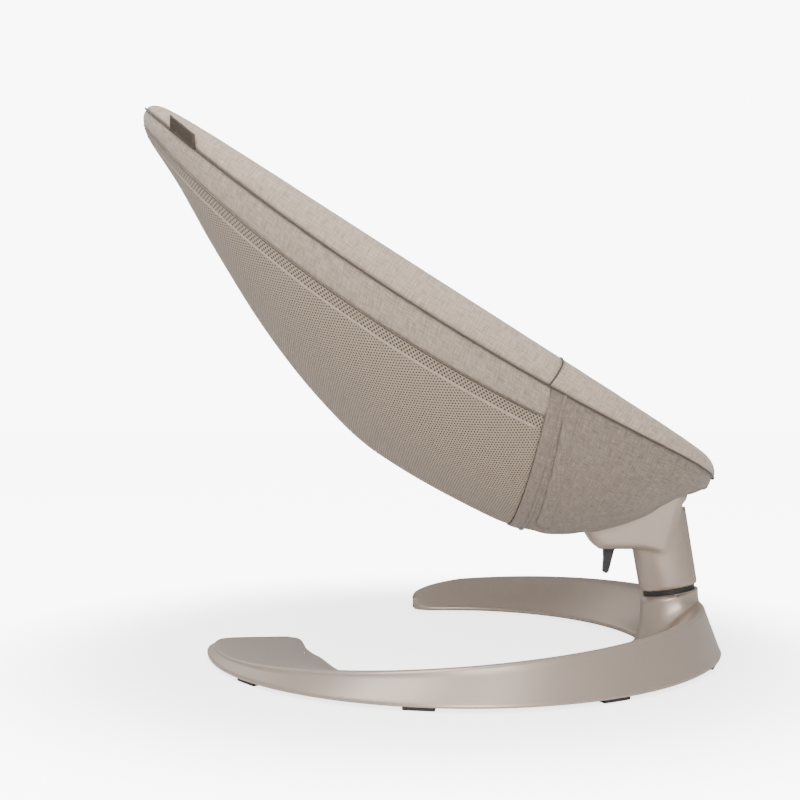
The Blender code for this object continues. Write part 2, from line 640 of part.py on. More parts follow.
cut(pawl, apply_all(plate("pawl_clear", [
    lever_point(-0.0063, 0.0033), lever_point(-0.0015, 0.0066), lever_point(0.0048, 0.0048),
    lever_point(0.0066, -0.0010), lever_point(0.0000, -0.0100)], -0.01, 0.01)))

SPRING_R = 0.0042
SPRING_WIRE = 0.0005
SPRING_TURNS = 4
spring_points = [Vector((LEVER_PIVOT.x - 0.0030, -LEVER_T / 2.0 - 0.0012, LEVER_PIVOT.z + 0.0120))]
for i in range(SPRING_TURNS * 10 + 1):
    a = math.radians(150.0) + 2.0 * math.pi * i / 10.0
    spring_points.append(Vector((LEVER_PIVOT.x + SPRING_R * math.cos(a),
                                 -LEVER_T / 2.0 - 0.0012 - 0.0016 * i / 10.0,
                                 LEVER_PIVOT.z + SPRING_R * math.sin(a))))
tube("lever_spring", spring_points, SPRING_WIRE, "steel", resolution=1)

# ---------------------------------------------------------------- seat bracket and sector
TUBE_FOOT = seat_point(ROLL_R, 0.0, FOOT_LIFT - ROLL_R)
BLOCK_HALF = 0.0105


def from_pivot_to(ahead, up):
    """Outline point of the bracket, from the recline pivot."""
    return (PIVOT.x + ahead, PIVOT.z + up)


def direction_point(base, along, above):
    """Point of the bracket's arm: along its slope from the pivot, and above it."""
    a = math.radians(base)
    return (PIVOT.x - along * math.cos(a) + above * math.sin(a) * -1.0,
            PIVOT.z - along * math.sin(a) + above * math.cos(a))


BRACKET_SLOPE = 17.0
SADDLE = (TUBE_FOOT.x - PIVOT.x, TUBE_FOOT.z - PIVOT.z)
saddle_low = SADDLE[1] - BLOCK_HALF - FIT
bracket_outline = [
    from_pivot_to(SADDLE[0] + 0.006, saddle_low), from_pivot_to(SADDLE[0] - 0.012, saddle_low),
    from_pivot_to(-0.004, 0.0105), direction_point(BRACKET_SLOPE, 0.018, 0.0075),
    direction_point(BRACKET_SLOPE, 0.066, 0.0065), direction_point(BRACKET_SLOPE, 0.066, -0.006),
    direction_point(BRACKET_SLOPE, 0.024, -0.0075), from_pivot_to(-0.004, -0.0100),
    from_pivot_to(0.0050, -0.0090), from_pivot_to(0.0100, -0.0030),
    from_pivot_to(SADDLE[0] - 0.006, saddle_low - 0.010),
    from_pivot_to(SADDLE[0] + 0.004, saddle_low - 0.006)]
bracket = plate("seat_bracket", bracket_outline, -CHEEK_Y[1], CHEEK_Y[1], "steel")
WEB_PLATE = 0.003
inside_outline = [
    from_pivot_to(SADDLE[0] + 0.030, saddle_low - WEB_PLATE),
    from_pivot_to(SADDLE[0] - 0.0135, saddle_low - WEB_PLATE),
    from_pivot_to(-0.004, 0.0105 - WEB_PLATE), direction_point(BRACKET_SLOPE, 0.018, 0.0040),
    direction_point(BRACKET_SLOPE, 0.080, 0.0030), direction_point(BRACKET_SLOPE, 0.080, -0.020),
    from_pivot_to(-0.004, -0.030), from_pivot_to(0.060, -0.020)]
cut(bracket, plate("bracket_inside", inside_outline, -CHEEK_Y[0], CHEEK_Y[0]))
BUSH_OUT = PIN_R + FIT + BUSH_WALL
cut(bracket, cylinders("bush_holes", [across(PIVOT)], BUSH_OUT + FIT, 0.06, segments=20))
for label, side in (("recline_bush_near", -1.0), ("recline_bush_far", 1.0)):
    base = across(PIVOT) @ Matrix.Rotation(math.pi if side < 0.0 else 0.0, 4, "X")
    inner_y = CHEEK_Y[0] - 0.0004
    outer_y = CHEEK_Y[1] + FIT
    turned(label, [(PIN_R + FIT, outer_y + 0.0018), (BUSH_OUT + 0.0020, outer_y + 0.0018),
                   (BUSH_OUT + 0.0020, outer_y), (BUSH_OUT, outer_y), (BUSH_OUT, inner_y),
                   (PIN_R + FIT, inner_y)], base, "nylon", segments=20)

NOTCH_HALF = 1.4            # degrees
sector_outline = []
SECTOR_SPAN = (15.0, 31.5)
LATCH_AT = 28.0
steps = [LATCH_AT - recline for recline in reversed(RECLINE_STEPS)]
for step in steps:
    sector_outline.append(around_pivot(SECTOR_R, step - NOTCH_HALF))
    sector_outline.append(around_pivot(SECTOR_ROOT_R, step - NOTCH_HALF * 0.6))
    sector_outline.append(around_pivot(SECTOR_ROOT_R, step + NOTCH_HALF * 0.6))
    sector_outline.append(around_pivot(SECTOR_R, step + NOTCH_HALF))
outline = [around_pivot(SECTOR_R, SECTOR_SPAN[0])] + sector_outline
outline += [around_pivot(SECTOR_R, SECTOR_SPAN[1]), around_pivot(0.062, SECTOR_SPAN[1]),
            around_pivot(0.026, 22.0), around_pivot(0.026, 14.0), around_pivot(0.050, 15.0)]
plate("ratchet_sector", [(p.x, p.z) for p in outline], -SECTOR_T / 2.0, SECTOR_T / 2.0, "steel")
RIVETS = [Vector((*direction_point(BRACKET_SLOPE, along, -0.0015), 0.0)).xzy
          for along in (0.034, 0.052)]
RIVET_R = 0.002
cut(bpy.data.objects["ratchet_sector"], cylinders("rivet_holes", [across(p) for p in RIVETS],
                                                  RIVET_R + FIT, 0.05, segments=12))
cut(bracket, cylinders("rivet_holes_bracket", [across(p) for p in RIVETS],
                       RIVET_R + FIT, 0.05, segments=12))
for number, place in enumerate(RIVETS, start=1):
    cylinders(f"sector_rivet_{number}", [across(place)], RIVET_R, CHEEK_Y[1] * 2.0 + 0.002,
              "steel", segments=12)

# ---------------------------------------------------------------- seat frame
def rim_plan(t, inset=0.0):
    """Rim outline in the seat's plane: 0 at the foot tip, pi at the head tip."""
    u = SEAT_LENGTH / 2.0 * (1.0 - math.cos(t))
    v = SEAT_HALF_WIDTH * math.sin(t) * (1.0 - SEAT_SKEW * math.cos(t))
    du = SEAT_LENGTH / 2.0 * math.sin(t)
    dv = SEAT_HALF_WIDTH * (math.cos(t) - SEAT_SKEW * math.cos(2.0 * t))
    size = math.hypot(du, dv)
    return u + inset * dv / size, v - inset * du / size


def rim_top(t):
    """Height of the rim's top above the rim plane."""
    c = math.cos(t)
    return (HEAD_LIFT if c < 0.0 else FOOT_LIFT) * c * c


def roll_centre(t):
    """Middle of the padded rim, where the frame tube runs."""
    u, v = rim_plan(t, ROLL_R)
    return seat_point(u, v, rim_top(t) - ROLL_R)


FOOT_JOINT = 0.105          # loop angle where the foot block ends and the tubes start
HEAD_JOINT = math.pi - 0.004
TUBE_STEPS = 34
for label, side in (("frame_tube_near", -1.0), ("frame_tube_far", 1.0)):
    line = []
    for i in range(TUBE_STEPS + 1):
        place = roll_centre(FOOT_JOINT + (HEAD_JOINT - FOOT_JOINT) * i / TUBE_STEPS)
        line.append(Vector((place.x, side * place.y, place.z)))
    pipe = tube(label, line, TUBE_R, "aluminium", caps=False)
    wall = pipe.modifiers.new("wall", "SOLIDIFY")
    wall.thickness = TUBE_WALL
    wall.offset = -1.0
FLAT_SHARE = math.cos(math.pi / 8.0)  # flats of the eight-sided bore
FERRULE_R = (TUBE_R - TUBE_WALL) * FLAT_SHARE - FIT * 2.0
FERRULE_HALF = 0.16
tube("frame_head_ferrule", [roll_centre(math.pi + FERRULE_HALF * k / 4.0)
                            for k in range(-4, 5)], FERRULE_R, "aluminium")
spigot = tube("frame_foot_block", [roll_centre(FERRULE_HALF * k / 4.0 * 1.4)
                                   for k in range(-4, 5)], FERRULE_R, "aluminium")
BLOCK_Y = abs(roll_centre(FOOT_JOINT).y) - 0.0045
BLOCK_BACK = 0.0038
BLOCK_X = 0.0110
BLOCK_TOP = 0.003
block = boxes("block_body", [Matrix.Translation(
    TUBE_FOOT - Vector((BLOCK_BACK, 0.0, (BLOCK_HALF - BLOCK_TOP) / 2.0)))],
    [(BLOCK_X, BLOCK_Y * 2.0, BLOCK_HALF + BLOCK_TOP)])
cut(spigot, block, "UNION")
apply_all(spigot)
BOLT_R = 0.0025
BOLT_X = TUBE_FOOT.x - BLOCK_BACK
BOLT_Y = 0.0055
BOLT_TOP = TUBE_FOOT.z - BLOCK_HALF + 0.009
BOLT_LOW = PIVOT.z + saddle_low - WEB_PLATE - 0.0025
bolt_places = [Matrix.Translation((BOLT_X, side * BOLT_Y, (BOLT_TOP + BOLT_LOW) / 2.0))
               for side in (-1.0, 1.0)]
BOLT_DEPTH = BOLT_TOP - BOLT_LOW
cut(spigot, cylinders("bolt_holes", bolt_places, BOLT_R + FIT, BOLT_DEPTH + FIT * 2.0, segments=12))
cut(bracket, cylinders("bolt_holes_bracket", bolt_places, BOLT_R + FIT, BOLT_DEPTH + 0.01,
                       segments=12))
for label, place in zip(("bracket_bolt_near", "bracket_bolt_far"), bolt_places):
    cylinders(label, [place], BOLT_R, BOLT_DEPTH, "steel", segments=12)

# ---------------------------------------------------------------- cloth shells of the seat
LOOP_STEPS = 44


def belly_depth(u):
    """Depth of the belly line below the rim plane, a smooth curve through BELLY."""
    x = u / SEAT_LENGTH
    knots = BELLY
    k = 0
    while k < len(knots) - 2 and x > knots[k + 1][0]:
        k += 1
    (x0, d0), (x1, d1) = knots[k], knots[k + 1]
    before = knots[max(k - 1, 0)]
    after = knots[min(k + 2, len(knots) - 1)]
    slope0 = (d1 - before[1]) / (x1 - before[0])
    slope1 = (after[1] - d0) / (after[0] - x0)
    s = min(max((x - x0) / (x1 - x0), 0.0), 1.0)
    h = x1 - x0
    return ((2 * s ** 3 - 3 * s ** 2 + 1) * d0 + (s ** 3 - 2 * s ** 2 + s) * h * slope0
            + (3 * s ** 2 - 2 * s ** 3) * d1 + (s ** 3 - s ** 2) * h * slope1)


def keel_u(t):
    """Place along the belly line that the rim point at t runs down to."""
    return SEAT_LENGTH / 2.0 - (SEAT_LENGTH / 2.0 - KEEL_INSET) * math.cos(t)


def fullness(t):
    """Power of the rounded side: nearly straight at the foot tip, round elsewhere."""
    return 2.1 - 0.45 * max(math.cos(t), 0.0) ** 4


def seam_height(t):
    """Height of the rim seam in the seat frame."""
    return rim_top(t) - SEAM_END - SEAM_MORE * math.sin(t) ** 2


def side_point(t, share, depth, start, inset):
    """Point on a bucket wall: share 1 at its top edge, 0 at the belly line."""
    u0, v0 = rim_plan(t, inset)
    p = fullness(t)
    share = max(share, 0.0)
    fall = max(1.0 - share ** p, 0.0) ** (1.0 / p)
    u1 = keel_u(t)
    return seat_point(u1 + (u0 - u1) * share, v0 * share, start + (-depth - start) * fall)


def share_at(t, height):
    """Share of the way out at which the outer wall has a given height."""
    start = seam_height(t)
    p = fullness(t)
    fall = min(max((height - start) / (-belly_depth(keel_u(t)) - start), 0.0), 1.0)
    return (1.0 - fall ** p) ** (1.0 / p)


def outer_row(t, share):
    return side_point(t, share, belly_depth(keel_u(t)), seam_height(t), 0.002)


def band_share(t):
    """Share at the lower edge of the woven side band."""
    lower = seam_height(t) - BAND_WIDTH * (0.45 + 0.55 * math.sin(t) ** 2)
    return share_at(t, lower)


def loop_surface(rows_at):
    """Grid round the whole rim from a function giving one column of points at t."""
    bm = bmesh.new()
    columns = []
    for i in range(LOOP_STEPS):
        t = 2.0 * math.pi * (i + 0.5) / LOOP_STEPS
        columns.append([bm.verts.new(p) for p in rows_at(t)])
    for i in range(LOOP_STEPS):
        one, two = columns[i], columns[(i + 1) % LOOP_STEPS]
        for j in range(len(one) - 1):
            bm.faces.new((one[j], two[j], two[j + 1], one[j + 1]))
    bmesh.ops.remove_doubles(bm, verts=bm.verts, dist=0.0001)
    return bm


def zip_plane(shift):
    """A point on the zip plane moved to the foot by shift, and its normal to the head."""
    point = seat_point(ZIP_TOP_U - shift, 0.0, 0.0)
    normal = (ALONG - UP_SEAT * ZIP_LEAN).normalized()
    return point, normal


def keep_side(bm, plane, headwards):
    """Cut an open surface at a plane and keep the head side or the foot side."""
    point, normal = plane
    bmesh.ops.bisect_plane(bm, geom=bm.verts[:] + bm.edges[:] + bm.faces[:], plane_co=point,
                           plane_no=normal, clear_inner=headwards, clear_outer=not headwards)


def cloth(name, bm, thickness, material, flip=False):
    """A shell from an open surface, its wall inside the surface."""
    bmesh.ops.recalc_face_normals(bm, faces=bm.faces)
    middle = seat_point(SEAT_LENGTH * 0.5, 0.0, 0.5 if flip else -0.02)
    face = max(bm.faces, key=lambda f: f.calc_area())
    outward = (face.calc_center_median() - middle).dot(face.normal)
    if (outward < 0.0) != flip:
        bmesh.ops.reverse_faces(bm, faces=bm.faces)
    data = bpy.data.meshes.new(name)
    bm.to_mesh(data)
    bm.free()
    made = add(name, data, material)
    wall = made.modifiers.new("wall", "SOLIDIFY")
    wall.thickness = thickness
    wall.offset = -1.0
    wall.use_even_offset = False
    return made


def shares_between(top, bottom, count):
    return [top + (bottom - top) * k / count for k in range(count + 1)]


SEAM_GAP = 0.0006
band = loop_surface(lambda t: [outer_row(t, s) for s in shares_between(
    1.0, band_share(t) + 0.006, 3)])
keep_side(band, zip_plane(-SEAM_GAP), True)
cloth("side_band", band, COVER_T, "woven_cloth")
belly = loop_surface(lambda t: [outer_row(t, s) for s in shares_between(
    band_share(t), 0.0, 7)])
keep_side(belly, zip_plane(-SEAM_GAP), True)
cloth("mesh_panel", belly, COVER_T, "mesh_cloth")
flap = loop_surface(lambda t: [outer_row(t, s) for s in shares_between(1.0, 0.0, 12)])
keep_side(flap, zip_plane(0.0), False)
keep_side(flap, zip_plane(ZIP_WIDTH), True)
cloth("zip_band", flap, COVER_T, "woven_cloth")
foot = loop_surface(lambda t: [outer_row(t, s) for s in shares_between(1.0, 0.0, 12)])
keep_side(foot, zip_plane(ZIP_WIDTH + SEAM_GAP), False)
foot_cover = cloth("foot_cover", foot, COVER_T, "woven_cloth")
apply_all(foot_cover)
SLOT_HALF = ARM_HALF_Y + 0.0015
slot_low = ARM_END - 0.006
SLOT_AHEAD = 0.033
SLOT_TOP = 0.0235
SLOT_BOTTOM = -0.080
foot_slot = boxes("foot_slot", [Matrix.Translation(PIVOT + Vector(
    ((slot_low + SLOT_AHEAD) / 2.0, 0.0, (SLOT_TOP + SLOT_BOTTOM) / 2.0)))],
    [(SLOT_AHEAD - slot_low, SLOT_HALF * 2.0, SLOT_TOP - SLOT_BOTTOM)])
cut(foot_cover, foot_slot)


SEAM_LIFT = 0.0035          # the liner's edge above the seam


def liner_share(t):
    """The hammock hangs less deep at the foot, over the housing."""
    return LINER_FOOT_SHARE + (LINER_SHARE - LINER_FOOT_SHARE) * smooth(
        keel_u(t) / SEAT_LENGTH, 0.15, 0.36)


def liner_rows(t):
    """From the rim seam up round the padded roll and down into the hollow."""
    top = rim_top(t)
    centre = top - ROLL_R
    low = math.asin(max(min((seam_height(t) + SEAM_LIFT - centre) / ROLL_R, 0.9), -0.88))
    rows = []
    for k in range(8):
        a = low + (math.radians(190.0) - low) * k / 7.0
        inset = ROLL_R - ROLL_R * math.cos(a)
        u, v = rim_plan(t, inset)
        rows.append(seat_point(u, v, centre + ROLL_R * math.sin(a)))
    depth = belly_depth(keel_u(t)) * liner_share(t)
    start = centre - ROLL_R * math.sin(math.radians(10.0)) - 0.001
    for share in shares_between(0.985, 0.0, 7):
        rows.append(side_point(t, share, depth, start, 2.0 * ROLL_R))
    return rows


cloth("seat_liner", loop_surface(liner_rows), LINER_T, "woven_cloth", flip=True)

# ---------------------------------------------------------------- harness, tag and screws
def liner_top(u, v):
    """Top of the hammock at a place along and across, from its own section there."""
    t = math.acos(min(max((SEAT_LENGTH / 2.0 - u) / (SEAT_LENGTH / 2.0 - KEEL_INSET), -1.0), 1.0))
    edge = rim_plan(t, 2.0 * ROLL_R)[1]
    p = fullness(t)
    share = min(abs(v) / max(edge, 0.001), 0.95)
    start = rim_top(t) - ROLL_R - 0.004
    depth = belly_depth(u) * liner_share(t)
    return start + (-depth - start) * max(1.0 - share ** p, 0.0) ** (1.0 / p)


def strap(name, path, width_axis, width, thickness, material):
    """Flat webbing along a path of points; width_axis gives the width at each point."""
    bm = bmesh.new()
    made = []
    for k, place in enumerate(path):
        along = (path[min(k + 1, len(path) - 1)] - path[max(k - 1, 0)]).normalized()
        side = width_axis.normalized()
        up = along.cross(side).normalized()
        for a, b in ((-1, -1), (1, -1), (1, 1), (-1, 1)):
            made.append(bm.verts.new(place + side * (a * width / 2.0)
                                     + up * (b * thickness / 2.0)))
    last = (len(path) - 1) * 4
    for face in grid_faces(len(path), 4, closed=True) + [
            (0, 1, 2, 3), tuple(range(last, last + 4))]:
        bm.faces.new([made[k] for k in face])
    return from_bmesh(name, bm, material)


BUCKLE_U = 0.330
BUCKLE_SIZE = (0.040, 0.044, 0.014)     # along, across, thick
BUCKLE_RISE = 0.062
CROTCH_U = 0.262
SEAT_TURN = Matrix.Rotation(SLOPE, 4, "Y")
BUCKLE_N = liner_top(BUCKLE_U, 0.0) + BUCKLE_RISE
buckle_place = seat_point(BUCKLE_U, 0.0, BUCKLE_N)
turn = Matrix.Translation(buckle_place) @ SEAT_TURN
buckle = boxes("buckle_body", [turn], [BUCKLE_SIZE], "black_plastic", bevel=0.003)
BUTTON_R = 0.0095
BUTTON_T = 0.0052
BUTTON_TRAVEL = 0.0025
button_top = BUCKLE_SIZE[2] / 2.0 + 0.0012
well_low = button_top - BUTTON_T - BUTTON_TRAVEL - FIT
cut(buckle, cylinders("button_well", [turn @ Matrix.Translation(
    (0.0, 0.0, well_low + 0.01))], BUTTON_R + FIT, 0.02, segments=24))
cylinders("buckle_button", [turn @ Matrix.Translation((0.0, 0.0, button_top - BUTTON_T / 2.0))],
          BUTTON_R, BUTTON_T, "black_plastic", segments=24)
TONGUE = (0.020, 0.012, 0.004)
for label, side in (("buckle_tongue_near", -1.0), ("buckle_tongue_far", 1.0)):
    tongue_y = side * (BUCKLE_SIZE[1] / 2.0 + TONGUE[1] / 2.0 + FIT)
    boxes(label, [turn @ Matrix.Translation((0.0, tongue_y, 0.0))], [TONGUE], "black_plastic",
          bevel=0.001)
CROTCH_STEPS = 6
crotch_start = (CROTCH_U, liner_top(CROTCH_U, 0.0) + 0.0050)
crotch_end = (BUCKLE_U - BUCKLE_SIZE[0] / 2.0 - 0.0030, BUCKLE_N)
crotch_path = []
for k in range(CROTCH_STEPS + 1):
    s = k / CROTCH_STEPS
    rise = math.sin(s * math.pi / 2.0)
    crotch_path.append(seat_point(crotch_start[0] + (crotch_end[0] - crotch_start[0]) * s ** 1.6,
                                  0.0, crotch_start[1] + (crotch_end[1] - crotch_start[1]) * rise))
strap("crotch_pad", crotch_path, Vector((0.0, 1.0, 0.0)), 0.050, 0.005, "woven_cloth")
ANCHOR_V = 0.118
ANCHOR_U = 0.375
for label, side in (("waist_strap_near", -1.0), ("waist_strap_far", 1.0)):
    start_v = BUCKLE_SIZE[1] / 2.0 + TONGUE[1] + FIT * 2.0
    path = []
    end_n = liner_top(ANCHOR_U, ANCHOR_V) + 0.0035
    for k in range(7):
        s = k / 6.0
        v = start_v + (ANCHOR_V - start_v) * s
        n = BUCKLE_N + (end_n - BUCKLE_N) * s + 0.010 * math.sin(math.pi * s)
        path.append(seat_point(BUCKLE_U + (ANCHOR_U - BUCKLE_U) * s, side * v, n))
    strap(label, path, ALONG, WEB, WEB_T, "webbing")

tag_t = math.acos(1.0 - 2.0 * TAG_U / SEAT_LENGTH)
tag_u, tag_v = rim_plan(tag_t, -0.0016)
next_u, next_v = rim_plan(tag_t + 0.02, -0.0016)
tag_along = (seat_point(next_u, -next_v, 0.0) - seat_point(tag_u, -tag_v, 0.0)).normalized()
tag_out = tag_along.cross(UP_SEAT).normalized()
tag_basis = Matrix((tag_along, tag_out, UP_SEAT)).transposed().to_4x4()
tag_place = seat_point(tag_u, -tag_v, seam_height(tag_t) + TAG_SIZE[1] / 2.0)
boxes("rim_tag", [Matrix.Translation(tag_place) @ tag_basis],
      [(TAG_SIZE[0], TAG_SIZE[2], TAG_SIZE[1])], "tag_leather")
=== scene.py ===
import math

import bmesh
import bpy
import numpy as np
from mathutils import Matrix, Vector


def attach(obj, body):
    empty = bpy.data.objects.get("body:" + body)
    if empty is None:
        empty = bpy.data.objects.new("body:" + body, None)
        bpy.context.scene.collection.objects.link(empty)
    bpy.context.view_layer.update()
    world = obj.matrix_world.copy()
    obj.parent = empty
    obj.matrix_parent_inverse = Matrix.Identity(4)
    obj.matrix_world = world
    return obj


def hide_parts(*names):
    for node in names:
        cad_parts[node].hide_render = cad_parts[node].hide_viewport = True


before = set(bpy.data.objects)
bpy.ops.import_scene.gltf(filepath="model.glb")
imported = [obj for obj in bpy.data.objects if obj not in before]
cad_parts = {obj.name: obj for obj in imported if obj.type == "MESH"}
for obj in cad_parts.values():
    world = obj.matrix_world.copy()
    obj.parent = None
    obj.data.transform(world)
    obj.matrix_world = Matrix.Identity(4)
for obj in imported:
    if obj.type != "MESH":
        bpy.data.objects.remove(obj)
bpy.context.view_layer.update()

# ------------------------------------------------------------------ camera, floor and light
# The object stands on a plain pale floor, seen level from its near side.  A broad soft
# light hangs overhead, a key light stands in front and a weak one behind.
eye = bpy.data.objects.new("camera", bpy.data.cameras.new("camera"))
bpy.context.scene.collection.objects.link(eye)
eye.data.sensor_width = 36.0
eye.data.lens = 52.56
eye.location = (-0.0362, -1.363, 0.2886)
eye.rotation_euler = (math.pi / 2.0, 0.0, 0.0)
bpy.context.scene.camera = eye


def lamp(name, place, target, width, power):
    """A square soft light of a given width, turned to a target."""
    light = bpy.data.lights.new(name, "AREA")
    light.size = width
    light.energy = power
    made = bpy.data.objects.new(name, light)
    bpy.context.scene.collection.objects.link(made)
    made.location = place
    aim = Vector(target) - Vector(place)
    made.rotation_euler = aim.to_track_quat("-Z", "Y").to_euler()
    return made


lamp("overhead", (-0.6, -0.7, 2.0), (0.0, 0.0, 0.25), 1.3, 36.0)
lamp("front_key", (0.2, -2.2, 0.9), (0.05, 0.0, 0.2), 0.9, 34.0)
lamp("back_rim", (-1.2, 1.6, 1.4), (0.0, 0.0, 0.2), 1.2, 5.0)
# A white room: it lights the object softly and is clear white where it is seen directly.
sky = bpy.data.worlds.new("studio")
bpy.context.scene.world = sky
sky.use_nodes = True
nodes, links = sky.node_tree.nodes, sky.node_tree.links
shown = nodes.new("ShaderNodeLightPath")
strength = nodes.new("ShaderNodeMapRange")
ROOM_LIGHT, ROOM_SEEN = 0.50, 9.0
strength.inputs["To Min"].default_value = ROOM_LIGHT
strength.inputs["To Max"].default_value = ROOM_SEEN
links.new(shown.outputs["Is Camera Ray"], strength.inputs["Value"])
links.new(strength.outputs[0], nodes["Background"].inputs["Strength"])
nodes["Background"].inputs["Color"].default_value = (1.0, 1.0, 1.0, 1.0)


class Value:
    """A number or colour that varies over a surface: a socket with arithmetic."""

    def __init__(self, finish, socket):
        self.finish = finish
        self.socket = socket

    def math(self, operation, *others):
        return self.finish.node("ShaderNodeMath", {"operation": operation}, self, *others)

    def __add__(self, other):
        return self.math("ADD", other)

    def __sub__(self, other):
        return self.math("SUBTRACT", other)

    def __rsub__(self, other):
        return self.finish.node("ShaderNodeMath", {"operation": "SUBTRACT"}, other, self)

    def __mul__(self, other):
        return self.math("MULTIPLY", other)

    __radd__ = __add__
    __rmul__ = __mul__


class Finish:
    """One material: a Principled shader whose varying sockets are fed by node()."""

    def __init__(self, name, **constants):
        self.material = bpy.data.materials.new(name)
        self.material.use_nodes = True
        self.tree = self.material.node_tree
        self.shader = self.tree.nodes["Principled BSDF"]
        for key, value in constants.items():
            self.shader.inputs[key.replace("_", " ")].default_value = value

    def node(self, kind, settings=None, *values, out=0):
        """A node of a kind: its settings first, then its input sockets in order."""
        made = self.tree.nodes.new(kind)
        for key, value in (settings or {}).items():
            setattr(made, key, value)
        for socket, value in zip(made.inputs, values):
            if isinstance(value, Value):
                self.tree.links.new(value.socket, socket)
            elif value is not None:
                socket.default_value = value
        return Value(self, made.outputs[out])

    def mix(self, share, one, two):
        """One colour where share is 0, the other where it is 1."""
        made = self.tree.nodes.new("ShaderNodeMix")
        made.data_type = "RGBA"
        for socket, value in ((made.inputs[0], share), (made.inputs[6], one),
                              (made.inputs[7], two)):
            if isinstance(value, Value):
                self.tree.links.new(value.socket, socket)
            else:
                socket.default_value = value
        return Value(self, made.outputs[2])

    def feed(self, name, value):
        self.tree.links.new(value.socket, self.shader.inputs[name])

    def bump(self, height, strength, distance):
        made = self.tree.nodes.new("ShaderNodeBump")
        made.inputs["Strength"].default_value = strength
        made.inputs["Distance"].default_value = distance
        self.tree.links.new(height.socket, made.inputs["Height"])
        self.tree.links.new(made.outputs[0], self.shader.inputs["Normal"])

    def noise(self, vector, scale, detail=2.0):
        return self.node("ShaderNodeTexNoise", None, vector, None, scale, detail)

    def scaled(self, vector, size):
        return self.node("ShaderNodeMapping", None, vector, None, None, size)

    def attribute(self, name):
        return self.node("ShaderNodeAttribute", {"attribute_name": name}, out=2)

    def place(self):
        return self.node("ShaderNodeTexCoord", out=3)

    def ramp(self, value, low, high):
        return self.node("ShaderNodeMapRange", {"interpolation_type": "SMOOTHSTEP"},
                         value, low, high, 0.0, 1.0)


def rgb(red, green, blue):
    return (red, green, blue, 1.0)


# A pale floor that runs out into the white of the room; the soft darker pool under the ring is a painted
# contact shadow.
floor_finish = Finish("pale_floor", Roughness=0.6)
place = floor_finish.place()
floor_finish.feed("Base Color", floor_finish.mix(
    floor_finish.noise(place, 1.5), rgb(0.93, 0.93, 0.93), rgb(0.95, 0.95, 0.95)))
reach = floor_finish.node("ShaderNodeVectorMath", {"operation": "LENGTH"}, place, out=1)
painted_contact_shadow = floor_finish.ramp(reach, 0.30, 0.62)
seen = floor_finish.node("ShaderNodeLightPath")
# Seen by the camera the floor glows white, less near the ring: that dip is the painted contact shadow.
floor_finish.shader.inputs["Emission Strength"].default_value = 8.0
floor_finish.feed("Emission Color", floor_finish.mix(
    seen, rgb(0.0, 0.0, 0.0), floor_finish.mix(painted_contact_shadow, rgb(0.38, 0.38, 0.38), rgb(1.0, 1.0, 1.0))))
floor_mesh = bpy.data.meshes.new("floor")
floor_mesh.from_pydata([(-9, -9, 0), (9, -9, 0), (9, 9, 0), (-9, 9, 0)], [], [(0, 1, 2, 3)])
floor_mesh.materials.append(floor_finish.material)
floor = bpy.data.objects.new("floor", floor_mesh)
bpy.context.scene.collection.objects.link(floor)


def smooth(x, low, high):
    """Eased rise from 0 at low to 1 at high."""
    s = np.clip((x - low) / (high - low), 0.0, 1.0)
    return s * s * (3.0 - 2.0 * s)


def surface(name, points, closed=False, wraps=False, uv=None):
    """An object from a grid of points, rows by columns.  closed joins the last row to the
    first, wraps the last column to the first.  uv gives named numbers for each point."""
    rows, columns = points.shape[:2]
    i = np.arange(rows if closed else rows - 1)[:, None]
    j = np.arange(columns if wraps else columns - 1)[None, :]
    down, across = (i + 1) % rows, (j + 1) % columns
    quads = np.stack([i * columns + j, i * columns + across, down * columns + across,
                      down * columns + j], -1).reshape(-1, 4)
    mesh = bpy.data.meshes.new(name)
    mesh.from_pydata(points.reshape(-1, 3).tolist(), [], quads.tolist())
    mesh.polygons.foreach_set("use_smooth", [True] * len(quads))
    if uv is not None:
        for key, values in uv.items():
            made = mesh.attributes.new(key, "FLOAT", "POINT")
            made.data.foreach_set("value", np.ravel(values).astype(np.float32))
    made = bpy.data.objects.new(name, mesh)
    bpy.context.scene.collection.objects.link(made)
    return made


def finished(piece, body, finish, slot_name, *nodes):
    """Paint a piece, fix it to its body and let it stand for its CAD nodes."""
    piece.data.materials.clear()
    piece.data.materials.append(finish.material)
    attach(piece, body)
    if nodes:
        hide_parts(*nodes)
    return piece


def unit(vectors):
    """Vectors scaled to a length of one."""
    return vectors / np.linalg.norm(vectors, axis=-1, keepdims=True)


def thicken(piece, thickness):
    """Give a surface a wall of some thickness on its inner side."""
    wall = piece.modifiers.new("wall", "SOLIDIFY")
    wall.thickness = thickness
    wall.offset = -1.0


def shade(piece, sharpest=50.0):
    """Smooth shading, but sharp where faces meet at more than an angle in degrees."""
    piece.data.polygons.foreach_set("use_smooth", [True] * len(piece.data.polygons))
    piece.data.set_sharp_from_angle(angle=math.radians(sharpest))


def close_up(piece):
    """Fill a piece's open ends and turn every face outwards."""
    bm = bmesh.new()
    bm.from_mesh(piece.data)
    bmesh.ops.holes_fill(bm, edges=bm.edges)
    bmesh.ops.recalc_face_normals(bm, faces=bm.faces)
    bm.to_mesh(piece.data)
    bm.free()


def weld_and_face_out(piece, inside, inwards=False):
    """Merge coincident points and turn every face away from a point inside, or towards it."""
    bm = bmesh.new()
    bm.from_mesh(piece.data)
    bmesh.ops.remove_doubles(bm, verts=bm.verts, dist=0.00005)
    bmesh.ops.recalc_face_normals(bm, faces=bm.faces)
    widest = max(bm.faces, key=lambda face: face.calc_area())
    away = (widest.calc_center_median() - Vector(inside)).dot(widest.normal) > 0.0
    if away == inwards:
        bmesh.ops.reverse_faces(bm, faces=bm.faces)
    bm.to_mesh(piece.data)
    bm.free()


